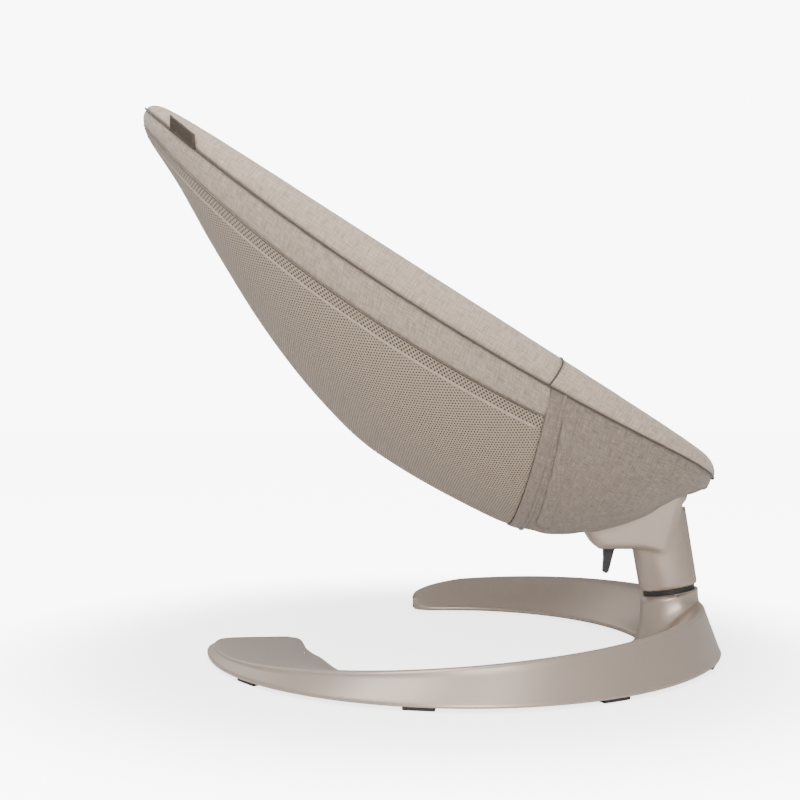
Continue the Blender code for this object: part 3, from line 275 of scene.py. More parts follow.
# ------------------------------------------------------------------ champagne metal paint
# Fine satin metallic paint on the base ring and on the column: a warm grey beige with a
# very fine grain, a little lighter where the surface faces the light.
champagne = Finish("champagne_paint", Metallic=0.55, Coat_Weight=0.12, Coat_Roughness=0.25)
place = champagne.place()
grain = champagne.noise(place, 2600.0, 1.0)
cloudy = champagne.noise(place, 9.0, 2.0)
champagne.feed("Base Color", champagne.mix(
    grain * 0.6 + cloudy * 0.4, rgb(0.405, 0.325, 0.265), rgb(0.50, 0.41, 0.345)))
champagne.feed("Roughness", grain * 0.10 + 0.34)
champagne.bump(grain, 0.04, 0.0004)

# ------------------------------------------------------------------ base ring
# A pressed steel cover: a broad wedge that rises to a crest near its outer edge, open on
# the inner side, with a wide flat end on the near arm and a slanted round nose on the far
# one.  Its stub, under the column, is blended into the heel with a soft fillet.
RING_X, OUTER_R, INNER_R, FLOOR_GAP, LIP = 0.0301, 0.287, 0.217, 0.004, 0.0045
NEAR_END, FAR_END, NOSE_FROM = -178.0, 101.5, 86.0
HEEL_OUT, HEEL_SPREAD = 0.013, 27.0


def ring_rows(degrees):
    """Section of the ring at each angle, from the outer foot over the crest to the lip.
    Crest height is .0386 + .0219 cos - .0045 cos squared; the outer edge bulges by 13 mm
    under the column; the far end closes along a slanted rounded nose."""
    c = np.cos(np.radians(degrees))
    crest_z = 0.0386 + 0.0219 * c - 0.0045 * c * c
    outer = OUTER_R + HEEL_OUT * np.exp(-(degrees / HEEL_SPREAD) ** 2)
    inner = INNER_R + (0.177 - INNER_R) * smooth(-degrees, 112.0, 152.0)
    # the near tip thins to a point on the outside and is rounded at its inner corner
    outer = outer - 0.008 * (1.0 - np.sqrt(1.0 - np.clip((-degrees - 172.5) / 5.5, 0.0, 1.0) ** 2))
    inner = inner + 0.018 * (1.0 - np.sqrt(1.0 - np.clip((-degrees - 166.0) / 12.0, 0.0, 1.0) ** 2))
    crest = outer - 0.019 + 0.0125 * smooth(-degrees, 118.0, 176.0)
    # the far nose: the end edge slants from the crest at 86 degrees to the lip at 101.5
    nose = np.clip((degrees - NOSE_FROM) / (FAR_END - NOSE_FROM), 0.0, 1.0)
    closing = 0.25 * nose + 0.75 * (1.0 - np.sqrt(np.maximum(1.0 - nose ** 2.6, 0.0)))
    outer = outer - (outer - 0.2445) * closing
    crest = crest - (crest - 0.2430) * closing
    corner = np.clip((degrees - 94.0) / (FAR_END - 94.0), 0.0, 1.0)
    inner = inner + (0.2360 - inner) * (1.0 - np.sqrt(1.0 - corner ** 2))
    crest_z = crest_z - (crest_z - LIP - FLOOR_GAP - 0.012) * closing
    lip = np.full_like(crest_z, FLOOR_GAP + LIP)
    width = crest - inner
    # the crest turns over a small radius, then the top falls away to the lip
    low = np.full_like(crest_z, FLOOR_GAP)
    profile = [(outer, low), (outer + 0.0004, low + 0.0012), (outer - 0.0008, low + 0.0034)]
    bend = np.minimum(0.0050, (crest_z - FLOOR_GAP) * 0.3)
    for share in np.linspace(0.12, 0.95, 8):
        profile.append((outer - 0.0008 + (crest - 0.0028 + bend * 0.94 - outer + 0.0008) * share,
                        FLOOR_GAP + 0.0034 + (crest_z - bend * 0.80 - FLOOR_GAP - 0.0034) * share))
    for turn in np.radians(np.linspace(20.0, 86.0, 7)):
        profile.append((crest - 0.0028 + bend * np.cos(turn), crest_z - bend + bend * np.sin(turn)))
    for share in (0.10, 0.22, 0.36, 0.52, 0.68, 0.84, 0.95):
        fall = 0.5 * (share ** 1.25) + 0.5 * smooth(share, 0.0, 1.0)
        profile.append((crest - 0.003 - (width - 0.003) * share,
                        crest_z - (crest_z - lip - 0.0006) * fall))
    profile += [(inner + 0.0008, lip + 0.0002), (inner, lip - 0.0012), (inner + 0.0004, low)]
    radius = np.stack([p[0] for p in profile], -1)
    z = np.stack([p[1] for p in profile], -1)
    lean = -7.0 * smooth(-degrees, 150.0, 178.0)[:, None] * (radius[:, :1] - radius) / (
        radius[:, :1] - radius[:, -1:] + 1e-9)
    angle = np.radians(degrees[:, None] + lean)
    return np.stack([RING_X + radius * np.cos(angle), radius * np.sin(angle), z], -1)


nose_share = 1 - (1 - np.linspace(0.02, 1, 34)) ** 2
angles = np.concatenate([np.linspace(NEAR_END, -110, 90), np.linspace(-109, NOSE_FROM, 200),
                         NOSE_FROM + (FAR_END - NOSE_FROM) * nose_share])
ring_points = ring_rows(angles)
# An end face closes the near arm.
first = ring_points[0]
foot = (first[0] + first[-1]) / 2.0
cap = [first + (foot - first) * share for share in (1.0, 0.7, 0.4, 0.15, 0.04)]
ring = surface("base_ring", np.concatenate([np.stack(cap), ring_points]))
weld_and_face_out(ring, (0.0, 0.0, -1.0))
thicken(ring, 0.0022)
finished(ring, "base", champagne, "champagne", "base_ring_cover")

# ------------------------------------------------------------------ stub under the column
# The ring rises to an oval stub below the gap; a concave fillet joins it to the ring's top,
# wide on the inner side and narrow over the steep outer wall.
TILT = math.radians(9.5)
SWING_X = RING_X + OUTER_R - 0.0284
GAP = np.array([SWING_X - 0.0685 * math.tan(TILT), 0.0, 0.0685])
SWING_AXIS = np.array([-math.sin(TILT), 0.0, math.cos(TILT)])
SWING_SIDE = np.array([math.cos(TILT), 0.0, math.sin(TILT)])
OVAL_A, OVAL_B = 0.0335, 0.0265


def oval(height, a, b, count=96, power=2.15):
    """Points of an oval across the swing axis at a height above the gap."""
    turn = np.arange(count) * 2.0 * np.pi / count
    x = np.sign(np.cos(turn)) * np.abs(np.cos(turn)) ** (2.0 / power) * a
    y = np.sign(np.sin(turn)) * np.abs(np.sin(turn)) ** (2.0 / power) * b
    return GAP + SWING_AXIS * height + x[:, None] * SWING_SIDE + y[:, None] * np.array([0, 1.0, 0])


def ring_height(x, y):
    """Height of the ring's top surface at a place."""
    row = ring_rows(np.array([math.degrees(math.atan2(y, x - RING_X))]))[0]
    radius = np.hypot(row[:, 0] - RING_X, row[:, 1])
    return float(np.interp(math.hypot(x - RING_X, y), radius[::-1], row[::-1, 2]))


stub_top = oval(-0.0029, OVAL_A - 0.0002, OVAL_B - 0.0002)
outward = stub_top - stub_top.mean(0)
outward[:, 2] = 0.0
outward = unit(outward)
reach = 0.0125 - 0.0105 * smooth(outward[:, 0], 0.15, 0.8)
inward = stub_top.mean(0) - stub_top
stub_rows = [stub_top + inward * share for share in (0.995, 0.5, 0.07)]
stub_rows += [stub_top + inward * 0.015 - SWING_AXIS * 0.0001, stub_top - SWING_AXIS * 0.0009]
for turn in np.radians(np.linspace(0.0, 90.0, 12)):
    row = stub_top + outward * (reach * (1.0 - math.cos(turn)))[:, None]
    for k, place in enumerate(row):
        lowest = ring_height(place[0], place[1]) - 0.0006
        start = stub_top[k, 2] - 0.0009
        place[2] = lowest + max(start - lowest, 0.0) * (1.0 - math.sin(turn))
    stub_rows.append(row)
stub = surface("base_stub", np.stack(stub_rows), wraps=True)
weld_and_face_out(stub, GAP - np.array([0, 0, 0.02]))
finished(stub, "base", champagne, "champagne")

# ------------------------------------------------------------------ column housing
# One moulded housing: an oval column on the swing axis and an arm that runs towards the
# head under the seat, run together with soft radii, hollow where the hinge parts sit.
PIVOT = np.array([SWING_X - 0.0056, 0.0, 0.180])


def slab(name, outline, half_width, rounded=False):
    """A closed prism on an XZ outline given from the recline pivot; rounded draws its side
    faces in near the outline's edge."""
    outline = np.array(outline)
    centre = outline.mean(0)
    rows = []
    for share, y in ((0.0, -1.0), (0.80, -1.0), (0.93, -0.955), (0.985, -0.86), (1.0, -0.70),
                     (1.0, 0.70), (0.985, 0.86), (0.93, 0.955), (0.80, 1.0), (0.0, 1.0)):
        flat = centre + (outline - centre) * (share if rounded or share == 0.0 else 1.0)
        row = np.column_stack([flat[:, 0], np.full(len(flat), y * half_width), flat[:, 1]])
        rows.append(row + PIVOT)
    made = surface(name, np.stack(rows), wraps=True)
    weld_and_face_out(made, np.array([centre[0], 0.0, centre[1]]) + PIVOT)
    return made


def dense(outline, step=0.003):
    """An outline with points added along its sides."""
    points = []
    for one, two in zip(outline, outline[1:] + outline[:1]):
        count = max(int(math.dist(one, two) / step), 1)
        points += [tuple(a + (b - a) * k / count for a, b in zip(one, two)) for k in range(count)]
    return points


def combine(target, other, operation):
    """A Boolean with another object, applied; the other object is then removed."""
    step = target.modifiers.new("step", "BOOLEAN")
    step.operation = operation
    step.object = other
    step.solver = "EXACT"
    bake(target)
    bpy.data.objects.remove(other)


def bake(piece):
    """Apply a piece's modifiers to its mesh."""
    shown_now = piece.evaluated_get(bpy.context.evaluated_depsgraph_get())
    made = bpy.data.meshes.new_from_object(shown_now)
    piece.modifiers.clear()
    piece.data = made


HOUSING_RISE, HOUSING_GROWTH = 0.104, 0.25
housing_sizes = ([(0.0027, 0.02), (0.0027, 0.975)]
                 + [(h, 1.0 + HOUSING_GROWTH * h)
                    for h in np.linspace(0.0036, HOUSING_RISE - 0.002, 24)]
                 + [(HOUSING_RISE, 0.9), (HOUSING_RISE, 0.02)])
column = surface("column_housing", np.stack(
    [oval(h, OVAL_A * size, OVAL_B * size) for h, size in housing_sizes]), wraps=True)
weld_and_face_out(column, GAP + SWING_AXIS * 0.05)
ear = [(0.0115 * math.cos(math.radians(a)), 0.0115 * math.sin(math.radians(a)))
       for a in range(-60, 101, 20)]
arm = slab("arm", dense(ear + [(-0.028, 0.0), (-0.060, -0.012), (-0.103, -0.026), (-0.107, -0.031),
                               (-0.107, -0.040), (-0.0955, -0.058), (-0.0905, -0.063),
                               (-0.040, -0.063), (-0.010, -0.070)]), 0.0285, rounded=True)
combine(column, arm, "UNION")
grid = column.modifiers.new("grid", "REMESH")
grid.mode = "VOXEL"
grid.voxel_size = 0.0015
soften = column.modifiers.new("soften", "SMOOTH")
soften.factor = 0.6
soften.iterations = 16
bake(column)
combine(column, slab("slot", [(0.030, 0.030), (-0.120, 0.030), (-0.104, -0.024), (-0.104, -0.039),
                              (-0.0905, -0.059), (-0.052, -0.060), (-0.045, -0.050),
                              (-0.016, -0.034), (0.030, -0.005)], 0.0165), "DIFFERENCE")
combine(column, slab("space", [(-0.020, 0.030), (-0.150, 0.030), (-0.104, -0.024),
                               (-0.104, -0.039), (-0.0905, -0.059), (-0.060, -0.060),
                               (-0.056, -0.020)], 0.0255), "DIFFERENCE")
bore = surface("bore", np.stack([oval(h, r, r, 48, 2.0) for h, r in (
    (-0.01, 0.0005), (-0.01, 0.0181), (0.0665, 0.0181), (0.080, 0.0196), (0.080, 0.0005))]),
    wraps=True)
weld_and_face_out(bore, GAP + SWING_AXIS * 0.03)
combine(column, bore, "DIFFERENCE")
combine(column, slab("lever_way", [(-0.0535, -0.057), (-0.0875, -0.057), (-0.0875, -0.070),
                                   (-0.0535, -0.070)], 0.0065), "DIFFERENCE")
shade(column)
finished(column, "column", champagne, "champagne", "column_shell_near", "column_shell_far")

# ------------------------------------------------------------------ woven and knitted cloth
# The rim, side band and foot cover are a heathered linen-like weave: yarns about 0.62 mm
# apart with paler and darker slubs along both directions.  The head end of the shell is a
# spacer knit with rows of small dark holes.  Cloth carries two lengths in metres as
# attributes: "run" along the rim and "fall" down the side.
YARN_PITCH = 0.00062


def woven(name, tone, dark, light, contrast):
    """Weave on the run and fall attributes: over-under yarns, slubs and a soft cloudiness."""
    made = Finish(name, Roughness=0.92, Sheen_Weight=0.25, Sheen_Roughness=0.5)
    run = made.attribute("run")
    fall = made.attribute("fall")
    over = (run * (2.0 * math.pi / YARN_PITCH)).math("SINE")
    under = (fall * (2.0 * math.pi / YARN_PITCH)).math("SINE")
    weave = over * under * 0.5 + 0.5
    flat = made.node("ShaderNodeCombineXYZ", None, run, fall, 0.0)
    along = made.noise(made.scaled(flat, (75.0, 760.0, 1.0)), 1.0, 3.0)
    across = made.noise(made.scaled(flat, (760.0, 75.0, 1.0)), 1.0, 3.0)
    cloud = made.noise(flat, 26.0, 3.0)
    slub = made.ramp(along * 0.5 + across * 0.5, 0.5 - 0.13 / contrast, 0.5 + 0.13 / contrast)
    colour = made.mix(slub, rgb(*dark), rgb(*light))
    colour = made.mix(cloud * 0.25, colour, rgb(*tone))
    gap = rgb(*(part * 0.45 for part in dark))
    colour = made.mix((1.0 - weave) * 0.16, colour, gap)
    made.feed("Base Color", colour)
    made.bump(weave * 0.6 + slub * 0.4, 0.35, 0.0003)
    return made


# each cloth's general tone, its dark and its light yarns, and the contrast between them
rim_cloth = woven("heathered_weave",
                  (0.49, 0.385, 0.295), (0.35, 0.264, 0.195), (0.64, 0.52, 0.413), 0.8)
# The foot, flap and band tones are the rim's weave darkened as painted shade, darkest low down and at the
# foot end.
foot_cloth_painted_shade = woven("heathered_weave_foot_painted_shade",
                   (0.245, 0.19, 0.148), (0.165, 0.124, 0.094), (0.335, 0.268, 0.214), 0.8)
flap_cloth_painted_shade = woven("heathered_weave_flap_painted_shade",
                   (0.235, 0.182, 0.138), (0.16, 0.12, 0.09), (0.32, 0.255, 0.2), 0.7)
band_cloth_painted_shade = woven("heathered_weave_band_painted_shade",
                   (0.365, 0.288, 0.22), (0.255, 0.192, 0.142), (0.485, 0.393, 0.312), 0.8)
tape_cloth = woven("seam_tape", (0.42, 0.34, 0.265), (0.35, 0.275, 0.21), (0.50, 0.41, 0.33), 0.6)


def knitted(name):
    """Spacer knit: rows of round holes, 3.1 mm apart and offset row by row; a band of
    larger holes in a diagonal lattice runs along the top edge."""
    made = Finish(name, Roughness=0.95, Sheen_Weight=0.2, Sheen_Roughness=0.5)
    run = made.attribute("run")
    fall = made.attribute("fall")
    rows = made.attribute("row")
    stitches = made.attribute("stitch")

    def holes(one, two, pitch, stretch, size):
        """Dark where a point lies near a hole's middle, in rows offset by half a pitch."""
        down = two * (1.0 / (pitch * stretch))
        row = down.math("FLOOR")
        offset = row.math("MODULO", 2.0).math("ABSOLUTE") * 0.5
        x = (one * (1.0 / pitch) + offset).math("FRACT") - 0.5
        y = (down.math("FRACT") - 0.5) * stretch
        far = (x * x + y * y).math("SQRT")
        return made.ramp(far, size, size + 0.16)

    fine = holes(stitches, rows, 0.0031, 1.0, 0.20)
    coarse = holes(run, fall, 0.0044, 0.60, 0.17)
    near_top = made.ramp(fall, 0.0125, 0.0140)
    yarn = made.noise(made.node("ShaderNodeCombineXYZ", None, run, fall, 0.0), 900.0, 2.0)
    cloth = near_top * fine + (1.0 - near_top) * coarse
    base = made.mix(yarn, rgb(0.285, 0.215, 0.155), rgb(0.42, 0.33, 0.25))
    made.feed("Base Color", made.mix(cloth, rgb(0.04, 0.028, 0.02), base))
    made.bump(cloth * 0.8 + yarn * 0.2, 0.5, 0.0006)
    return made


mesh_knit = knitted("spacer_knit")

# ------------------------------------------------------------------ seat shell surfaces
# The seat is a long pointed oval, tilted head up.  Its frame has u along the slope from the
# foot tip, v across and n out of the rim plane.  A loop angle t runs round the rim: 0 at the
# foot tip, 180 degrees at the head tip, positive on the far side.
SEAT_L, SEAT_W, SEAT_SKEW = 0.7766, 0.197, 0.13
SLOPE = math.radians(32.22)
FOOT_TIP = PIVOT + np.array([0.0425, 0.0, 0.0269])
ALONG = np.array([-math.cos(SLOPE), 0.0, math.sin(SLOPE)])
UP_SEAT = np.array([math.sin(SLOPE), 0.0, math.cos(SLOPE)])
ROLL_R, ZIP_U, ZIP_LEAN, BAND = 0.0155, 0.236, 0.38, 0.034
KEEL_INSET = 0.078
KEEL_LINE = ((0.10, 0.114), (0.14, 0.147), (0.18, 0.168), (0.25, 0.183), (0.44, 0.190),
             (0.55, 0.173), (0.66, 0.141), (0.76, 0.099), (0.835, 0.061), (0.90, 0.035))


def seat_point(u, v, n):
    """World place of a point in the seat's own frame."""
    u, v, n = np.broadcast_arrays(u, v, n)
    return (FOOT_TIP + u[..., None] * ALONG + v[..., None] * np.array([0.0, 1.0, 0.0])
            + n[..., None] * UP_SEAT)


def rim_plan(t, inset=0.0):
    """Plan of the rim: u = L/2 (1 - cos t), v = W sin t (1 - skew cos t), moved inwards."""
    u = SEAT_L / 2.0 * (1.0 - np.cos(t))
    v = SEAT_W * np.sin(t) * (1.0 - SEAT_SKEW * np.cos(t))
    du = SEAT_L / 2.0 * np.sin(t)
    dv = SEAT_W * (np.cos(t) - SEAT_SKEW * np.cos(2.0 * t))
    size = np.hypot(du, dv)
    return u + inset * dv / size, v - inset * du / size


def rim_top(t):
    """The rim rises at both tips, more at the head."""
    return np.where(np.cos(t) < 0.0, 0.013, 0.010) * np.cos(t) ** 2


def keel_u(t):
    return SEAT_L / 2.0 - (SEAT_L / 2.0 - KEEL_INSET) * np.cos(t)


def belly_depth(u):
    """Depth of the belly line, a cubic Hermite curve through KEEL_LINE."""
    knots = np.array(KEEL_LINE)
    x = np.asarray(u, float) / SEAT_L
    k = np.clip(np.searchsorted(knots[:, 0], x, side="left") - 1, 0, len(knots) - 2)
    x0, d0, x1, d1 = knots[k, 0], knots[k, 1], knots[k + 1, 0], knots[k + 1, 1]
    before, after = knots[np.maximum(k - 1, 0)], knots[np.minimum(k + 2, len(knots) - 1)]
    slope0 = (d1 - before[..., 1]) / (x1 - before[..., 0])
    slope1 = (after[..., 1] - d0) / (after[..., 0] - x0)
    s, h = np.clip((x - x0) / (x1 - x0), 0.0, 1.0), x1 - x0
    return ((2 * s ** 3 - 3 * s ** 2 + 1) * d0 + (s ** 3 - 2 * s ** 2 + s) * h * slope0
            + (3 * s ** 2 - 2 * s ** 3) * d1 + (s ** 3 - s ** 2) * h * slope1)


def fullness(t):
    return 2.1 - 0.45 * np.maximum(np.cos(t), 0.0) ** 4


def seam_height(t):
    """Seam below the rolled rim: 9 mm down at the head, 36 mm at the sides, 18 mm round
    the blunt foot tip."""
    from_foot = np.abs(np.arctan2(np.sin(t), np.cos(t)))
    return (rim_top(t) - 0.0095 - 0.0265 * np.abs(np.sin(t)) ** 1.7
            - 0.009 * np.exp(-(from_foot / 0.33) ** 2))


def blunt(points):
    """The foot tip is a full round nose: it stands out most 20 mm below the rim plane and
    draws back in over the housing."""
    away = points - FOOT_TIP
    u, n = away @ ALONG, away @ UP_SEAT
    out = np.interp(n, (-0.12, -0.070, -0.050, -0.040, -0.033, -0.021, -0.0144, -0.0057, 0.008),
                    (0.0, 0.008, 0.005, -0.001, -0.006, -0.0095, -0.0080, -0.0060, 0.0))
    return points + ALONG * (out * (1.0 - smooth(u, 0.0, 0.075)))[..., None]


def side_point(t, share, depth, start, inset):
    """Bucket wall from its top edge, share 1, to the belly line, share 0."""
    u0, v0 = rim_plan(t, inset)
    p, share = fullness(t), np.clip(share, 0.0, 1.0)
    fall = np.maximum(1.0 - share ** p, 0.0) ** (1.0 / p)
    u1 = keel_u(t)
    return seat_point(u1 + (u0 - u1) * share, v0 * share, start + (-depth - start) * fall)


def share_at(t, height):
    """Share of the way out at which the outer wall has a given height."""
    start, p = seam_height(t), fullness(t)
    fall = np.clip((height - start) / (-belly_depth(keel_u(t)) - start), 0.0, 1.0)
    return (1.0 - fall ** p) ** (1.0 / p)


def wall_point(t, share):
    """The outer surface of the seat shell."""
    return blunt(side_point(t, share, belly_depth(keel_u(t)), seam_height(t), 0.002))


def band_width(t):
    """The woven side band narrows to both tips."""
    return BAND * (0.45 + 0.55 * np.sin(t) ** 2)


def band_bottom(t):
    """Share at the lower edge of the side band."""
    return share_at(t, seam_height(t) - band_width(t))


def lengths(points, axis):
    """Length along a grid of points in one direction, from its first row or column."""
    step = np.linalg.norm(np.diff(points, axis=axis), axis=-1)
    zero = np.zeros_like(np.take(step, [0], axis=axis))
    return np.concatenate([zero, np.cumsum(step, axis=axis)], axis=axis)


ZIP_NORMAL = unit(ALONG - UP_SEAT * ZIP_LEAN)
ZIP_MIDDLE = seat_point(ZIP_U, 0.0, -0.03)


def ahead_of_zip(points, shift):
    """Distance of points to the head side of the zip plane moved to the foot by shift."""
    return (points - seat_point(ZIP_U - shift, 0.0, 0.0)) @ ZIP_NORMAL


def zip_angle(place_at, shift):
    """Loop angle at which a row of the wall crosses the zip plane, found by halving."""
    low, high = 0.02, math.pi - 0.02
    for _ in range(44):
        middle = (low + high) / 2.0
        short = ahead_of_zip(place_at(np.array([middle])), shift)[0] < 0.0
        low, high = (middle, high) if short else (low, middle)
    return (low + high) / 2.0


def wall_row(share):
    """The row of the shell's wall whose share at t is share(t), as a function of t."""
    return lambda t: wall_point(t, share(t))


def even_rows(falls):
    """Shares 1 - fall that are the same all round, as functions of t."""
    return [lambda t, fall=fall: 1.0 - fall + 0.0 * t for fall in falls]


def wall_patch(share_rows, shift, columns, over_foot=False):
    """A patch of the shell from the zip plane, moved to the foot by shift, round the head
    tip, or over_foot round the foot tip.  share_rows gives, for each row from the top down,
    a function from t to the share."""
    rows = []
    for place_at in map(wall_row, share_rows):
        edge = zip_angle(place_at, shift)
        ends = (-edge, edge) if over_foot else (edge, 2.0 * math.pi - edge)
        rows.append(place_at(np.linspace(*ends, columns)))
    return np.stack(rows)


def clothed(name, points, thickness, inside, run=None, inwards=False):
    """Cloth from a grid of points: rows down the side, columns along the rim."""
    uv = {"run": lengths(points, 1)[0][None, :].repeat(len(points), 0) if run is None else run,
          "fall": lengths(points, 0)}
    piece = surface(name, points, uv=uv)
    weld_and_face_out(piece, inside, inwards)
    thicken(piece, thickness)
    return piece


def stretched(points):
    """Edge steps down and across a cover's grid of points; they are worked out and not kept."""
    one = points[1:, :-1] - points[:-1, :-1]
    two = points[:-1, 1:] - points[:-1, :-1]


SEAT_MIDDLE = tuple(seat_point(SEAT_L * 0.5, 0.0, -0.02))
SEAM_GAP, RIM_COLUMNS = 0.0006, 340
CLOTH_WALL = 0.0018

# ------------------------------------------------------------------ side band
# A strip of the heathered weave below the rim seam, 34 mm wide at the sides, sewn to the
# knit along its lower edge.
band_share_rows = [lambda t, k=k: share_at(t, seam_height(t) + (k / 9.0) * (0.0007 - band_width(t)))
                   for k in range(10)]
band_points = wall_patch(band_share_rows, -SEAM_GAP, RIM_COLUMNS)
# the cloth sinks a little at both seams
puff = np.sin(np.linspace(0.03, 0.97, 10) * np.pi) ** 0.7 - 0.6
normal_out = unit(band_points - seat_point(SEAT_L * 0.5, 0.0, -0.05))
band_points = band_points + normal_out * (puff * 0.0012)[:, None, None]
# The band wears a darker copy of the rim's weave as painted shade on the seat's side.
side_band = clothed("side_band_cloth", band_points, CLOTH_WALL, SEAT_MIDDLE)
finished(side_band, "seat", band_cloth_painted_shade, "woven_cloth", "side_band")
stretched(band_points)

# ------------------------------------------------------------------ knitted back
# One panel of spacer knit under the head and back, down to the belly line on both sides.
knit_share_rows = [lambda t, k=k: band_bottom(t) * (1.0 - k) for k in
                   np.concatenate([[0.0, 0.004, 0.012], np.linspace(0.03, 1.0, 40)])]
knit_points = wall_patch(knit_share_rows, -SEAM_GAP, RIM_COLUMNS)
knit_fall = lengths(knit_points, 0)
knit_along = (knit_points - FOOT_TIP) @ ALONG
knit = surface("knit_panel", knit_points, uv={
    "run": lengths(knit_points, 1)[0][None, :].repeat(len(knit_points), 0), "fall": knit_fall,
    "row": knit_along * math.sin(SLOPE) - knit_fall * math.cos(SLOPE),
    "stitch": knit_along * math.cos(SLOPE) + knit_fall * math.sin(SLOPE)})
weld_and_face_out(knit, SEAT_MIDDLE)
thicken(knit, CLOTH_WALL)
finished(knit, "seat", mesh_knit, "mesh_cloth", "mesh_panel")
stretched(knit_points)

# ------------------------------------------------------------------ foot cover
# The weave over the foot end, in a much darker copy as painted shade, tucked in around the housing arm.
# Gentle upright folds gather towards the belly.
foot_share_rows = even_rows(
    np.concatenate([[0.0, 0.006, 0.018, 0.035], np.linspace(0.06, 1.0, 50)]))
FOOT_COLUMNS = 261
foot_points = wall_patch(foot_share_rows, 0.0166, FOOT_COLUMNS, over_foot=True)
across_foot = np.linspace(-1.0, 1.0, FOOT_COLUMNS)[None, :]
down_foot = np.linspace(0.0, 1.0, len(foot_share_rows))[:, None]
folds = (np.sin(across_foot * 23.0 + 2.2 * down_foot) * 0.5
         + np.sin(across_foot * 41.0 - 3.0 * down_foot + 1.0) * 0.3
         + np.sin(across_foot * 13.0 + 5.0 * down_foot + 2.0) * 0.5)
folds = (folds * smooth(down_foot, 0.05, 0.5) * smooth(1.0 - down_foot, 0.0, 0.25)
         * smooth(1.0 - np.abs(across_foot), 0.0, 0.12))
middle = seat_point(SEAT_L * 0.28, 0.0, -0.04)
out = unit(foot_points - middle)
edge_dip = -0.0008 * (1.0 - smooth(down_foot, 0.0, 0.03))
foot_points = foot_points + out * (folds * 0.0009 + edge_dip)[..., None]
foot_piece = clothed("foot_cover_cloth", foot_points, CLOTH_WALL, tuple(middle))
bake(foot_piece)
combine(foot_piece, slab("opening", [(-0.112, 0.0235), (-0.112, -0.080), (0.033, -0.080),
                                     (0.033, 0.0235)], 0.030), "DIFFERENCE")
shade(foot_piece)
finished(foot_piece, "seat", foot_cloth_painted_shade, "woven_cloth", "foot_cover")
stretched(foot_points)

# ------------------------------------------------------------------ closing flap and piping
# A 16 mm flap of weave closes the shell where the knit meets the foot cover, with a rolled
# piping lip on its foot-side edge; both run down one side, under the belly and up the other.
flap_share_rows = even_rows(np.linspace(0.0, 1.0, 70))


def belt(shift_from, shift_to, columns, lift):
    """Strip of the shell between two zip planes, down the near side and up the far one.
    lift raises each column off the shell."""
    near = []
    shifts = np.linspace(shift_from, shift_to, columns)
    for place_at in map(wall_row, flap_share_rows):
        near.append([place_at(np.array([-zip_angle(place_at, shift)]))[0] for shift in shifts])
    near = np.array(near)
    far = near * np.array([1.0, -1.0, 1.0])
    whole = np.concatenate([near, far[::-1][1:]])
    away = unit(whole - ZIP_MIDDLE)
    return whole + away * lift[None, :, None]


flap_lift = 0.0013 * np.sin(np.linspace(0.10, 0.97, 13) * np.pi) ** 0.35 + 0.0004
flap_points = belt(-0.0002, 0.0152, 13, flap_lift)
# The flap and its piping wear a darker copy of the weave as painted shade.
flap = clothed("closing_flap", flap_points.transpose(1, 0, 2), 0.0016, tuple(ZIP_MIDDLE))
finished(flap, "seat", flap_cloth_painted_shade, "woven_cloth", "zip_band")
stretched(flap_points)


def cord_along(name, path, radius, sides=12, closed=False):
    """A round cord along a path of points, with the run attribute along it."""
    ahead = unit((np.roll(path, -1, 0) - np.roll(path, 1, 0)) if closed
                 else np.gradient(path, axis=0))
    side = unit(np.cross(ahead, np.array([0.0, 0.0, 1.0]) + 1e-6))
    up = np.cross(side, ahead)
    turn = np.arange(sides) * 2.0 * np.pi / sides
    radius = np.broadcast_to(np.asarray(radius, float), (len(path),))
    points = path[:, None] + radius[:, None, None] * (
        np.cos(turn)[None, :, None] * side[:, None] + np.sin(turn)[None, :, None] * up[:, None])
    if not closed:
        points = np.concatenate([path[:1, None].repeat(sides, 1), points,
                                 path[-1:, None].repeat(sides, 1)])
    run = lengths(points, 0)[:, :1].repeat(sides, 1)
    fall = (turn * radius.mean())[None, :].repeat(len(points), 0)
    made = surface(name, points, closed=closed, wraps=True, uv={"run": run, "fall": fall})
    weld_and_face_out(made, tuple(path[0]))
    close_up(made)
    return made


piping_path = belt(0.0160, 0.0161, 2, np.array([0.0012, 0.0012]))[:, 0]
piping = cord_along("flap_piping", piping_path, 0.0019)
# The piping shares the flap's darker weave, painted shade.
finished(piping, "seat", flap_cloth_painted_shade, "woven_cloth")


def wall_at(u, n):
    """Place on the near side of the shell with a given u and n, found by halving on t."""
    u, n = np.broadcast_arrays(np.asarray(u, float), np.asarray(n, float))
    low, high = np.full(u.shape, 0.01), np.full(u.shape, math.pi - 0.01)
    for _ in range(40):
        t = (low + high) / 2.0
        place = wall_point(t, share_at(t, n))
        short = (place - FOOT_TIP) @ ALONG < u
        low, high = np.where(short, t, low), np.where(short, high, t)
    return wall_point(low, share_at(low, n)) * np.array([1.0, -1.0, 1.0])


# ------------------------------------------------------------------ padded rim and hammock
# The rim is a soft padded roll over the frame tube; the same cloth runs on as the hammock
# the child lies in.  The roll is full, with slight waviness, and dips at every seam.
ROLL_COLUMNS = 420


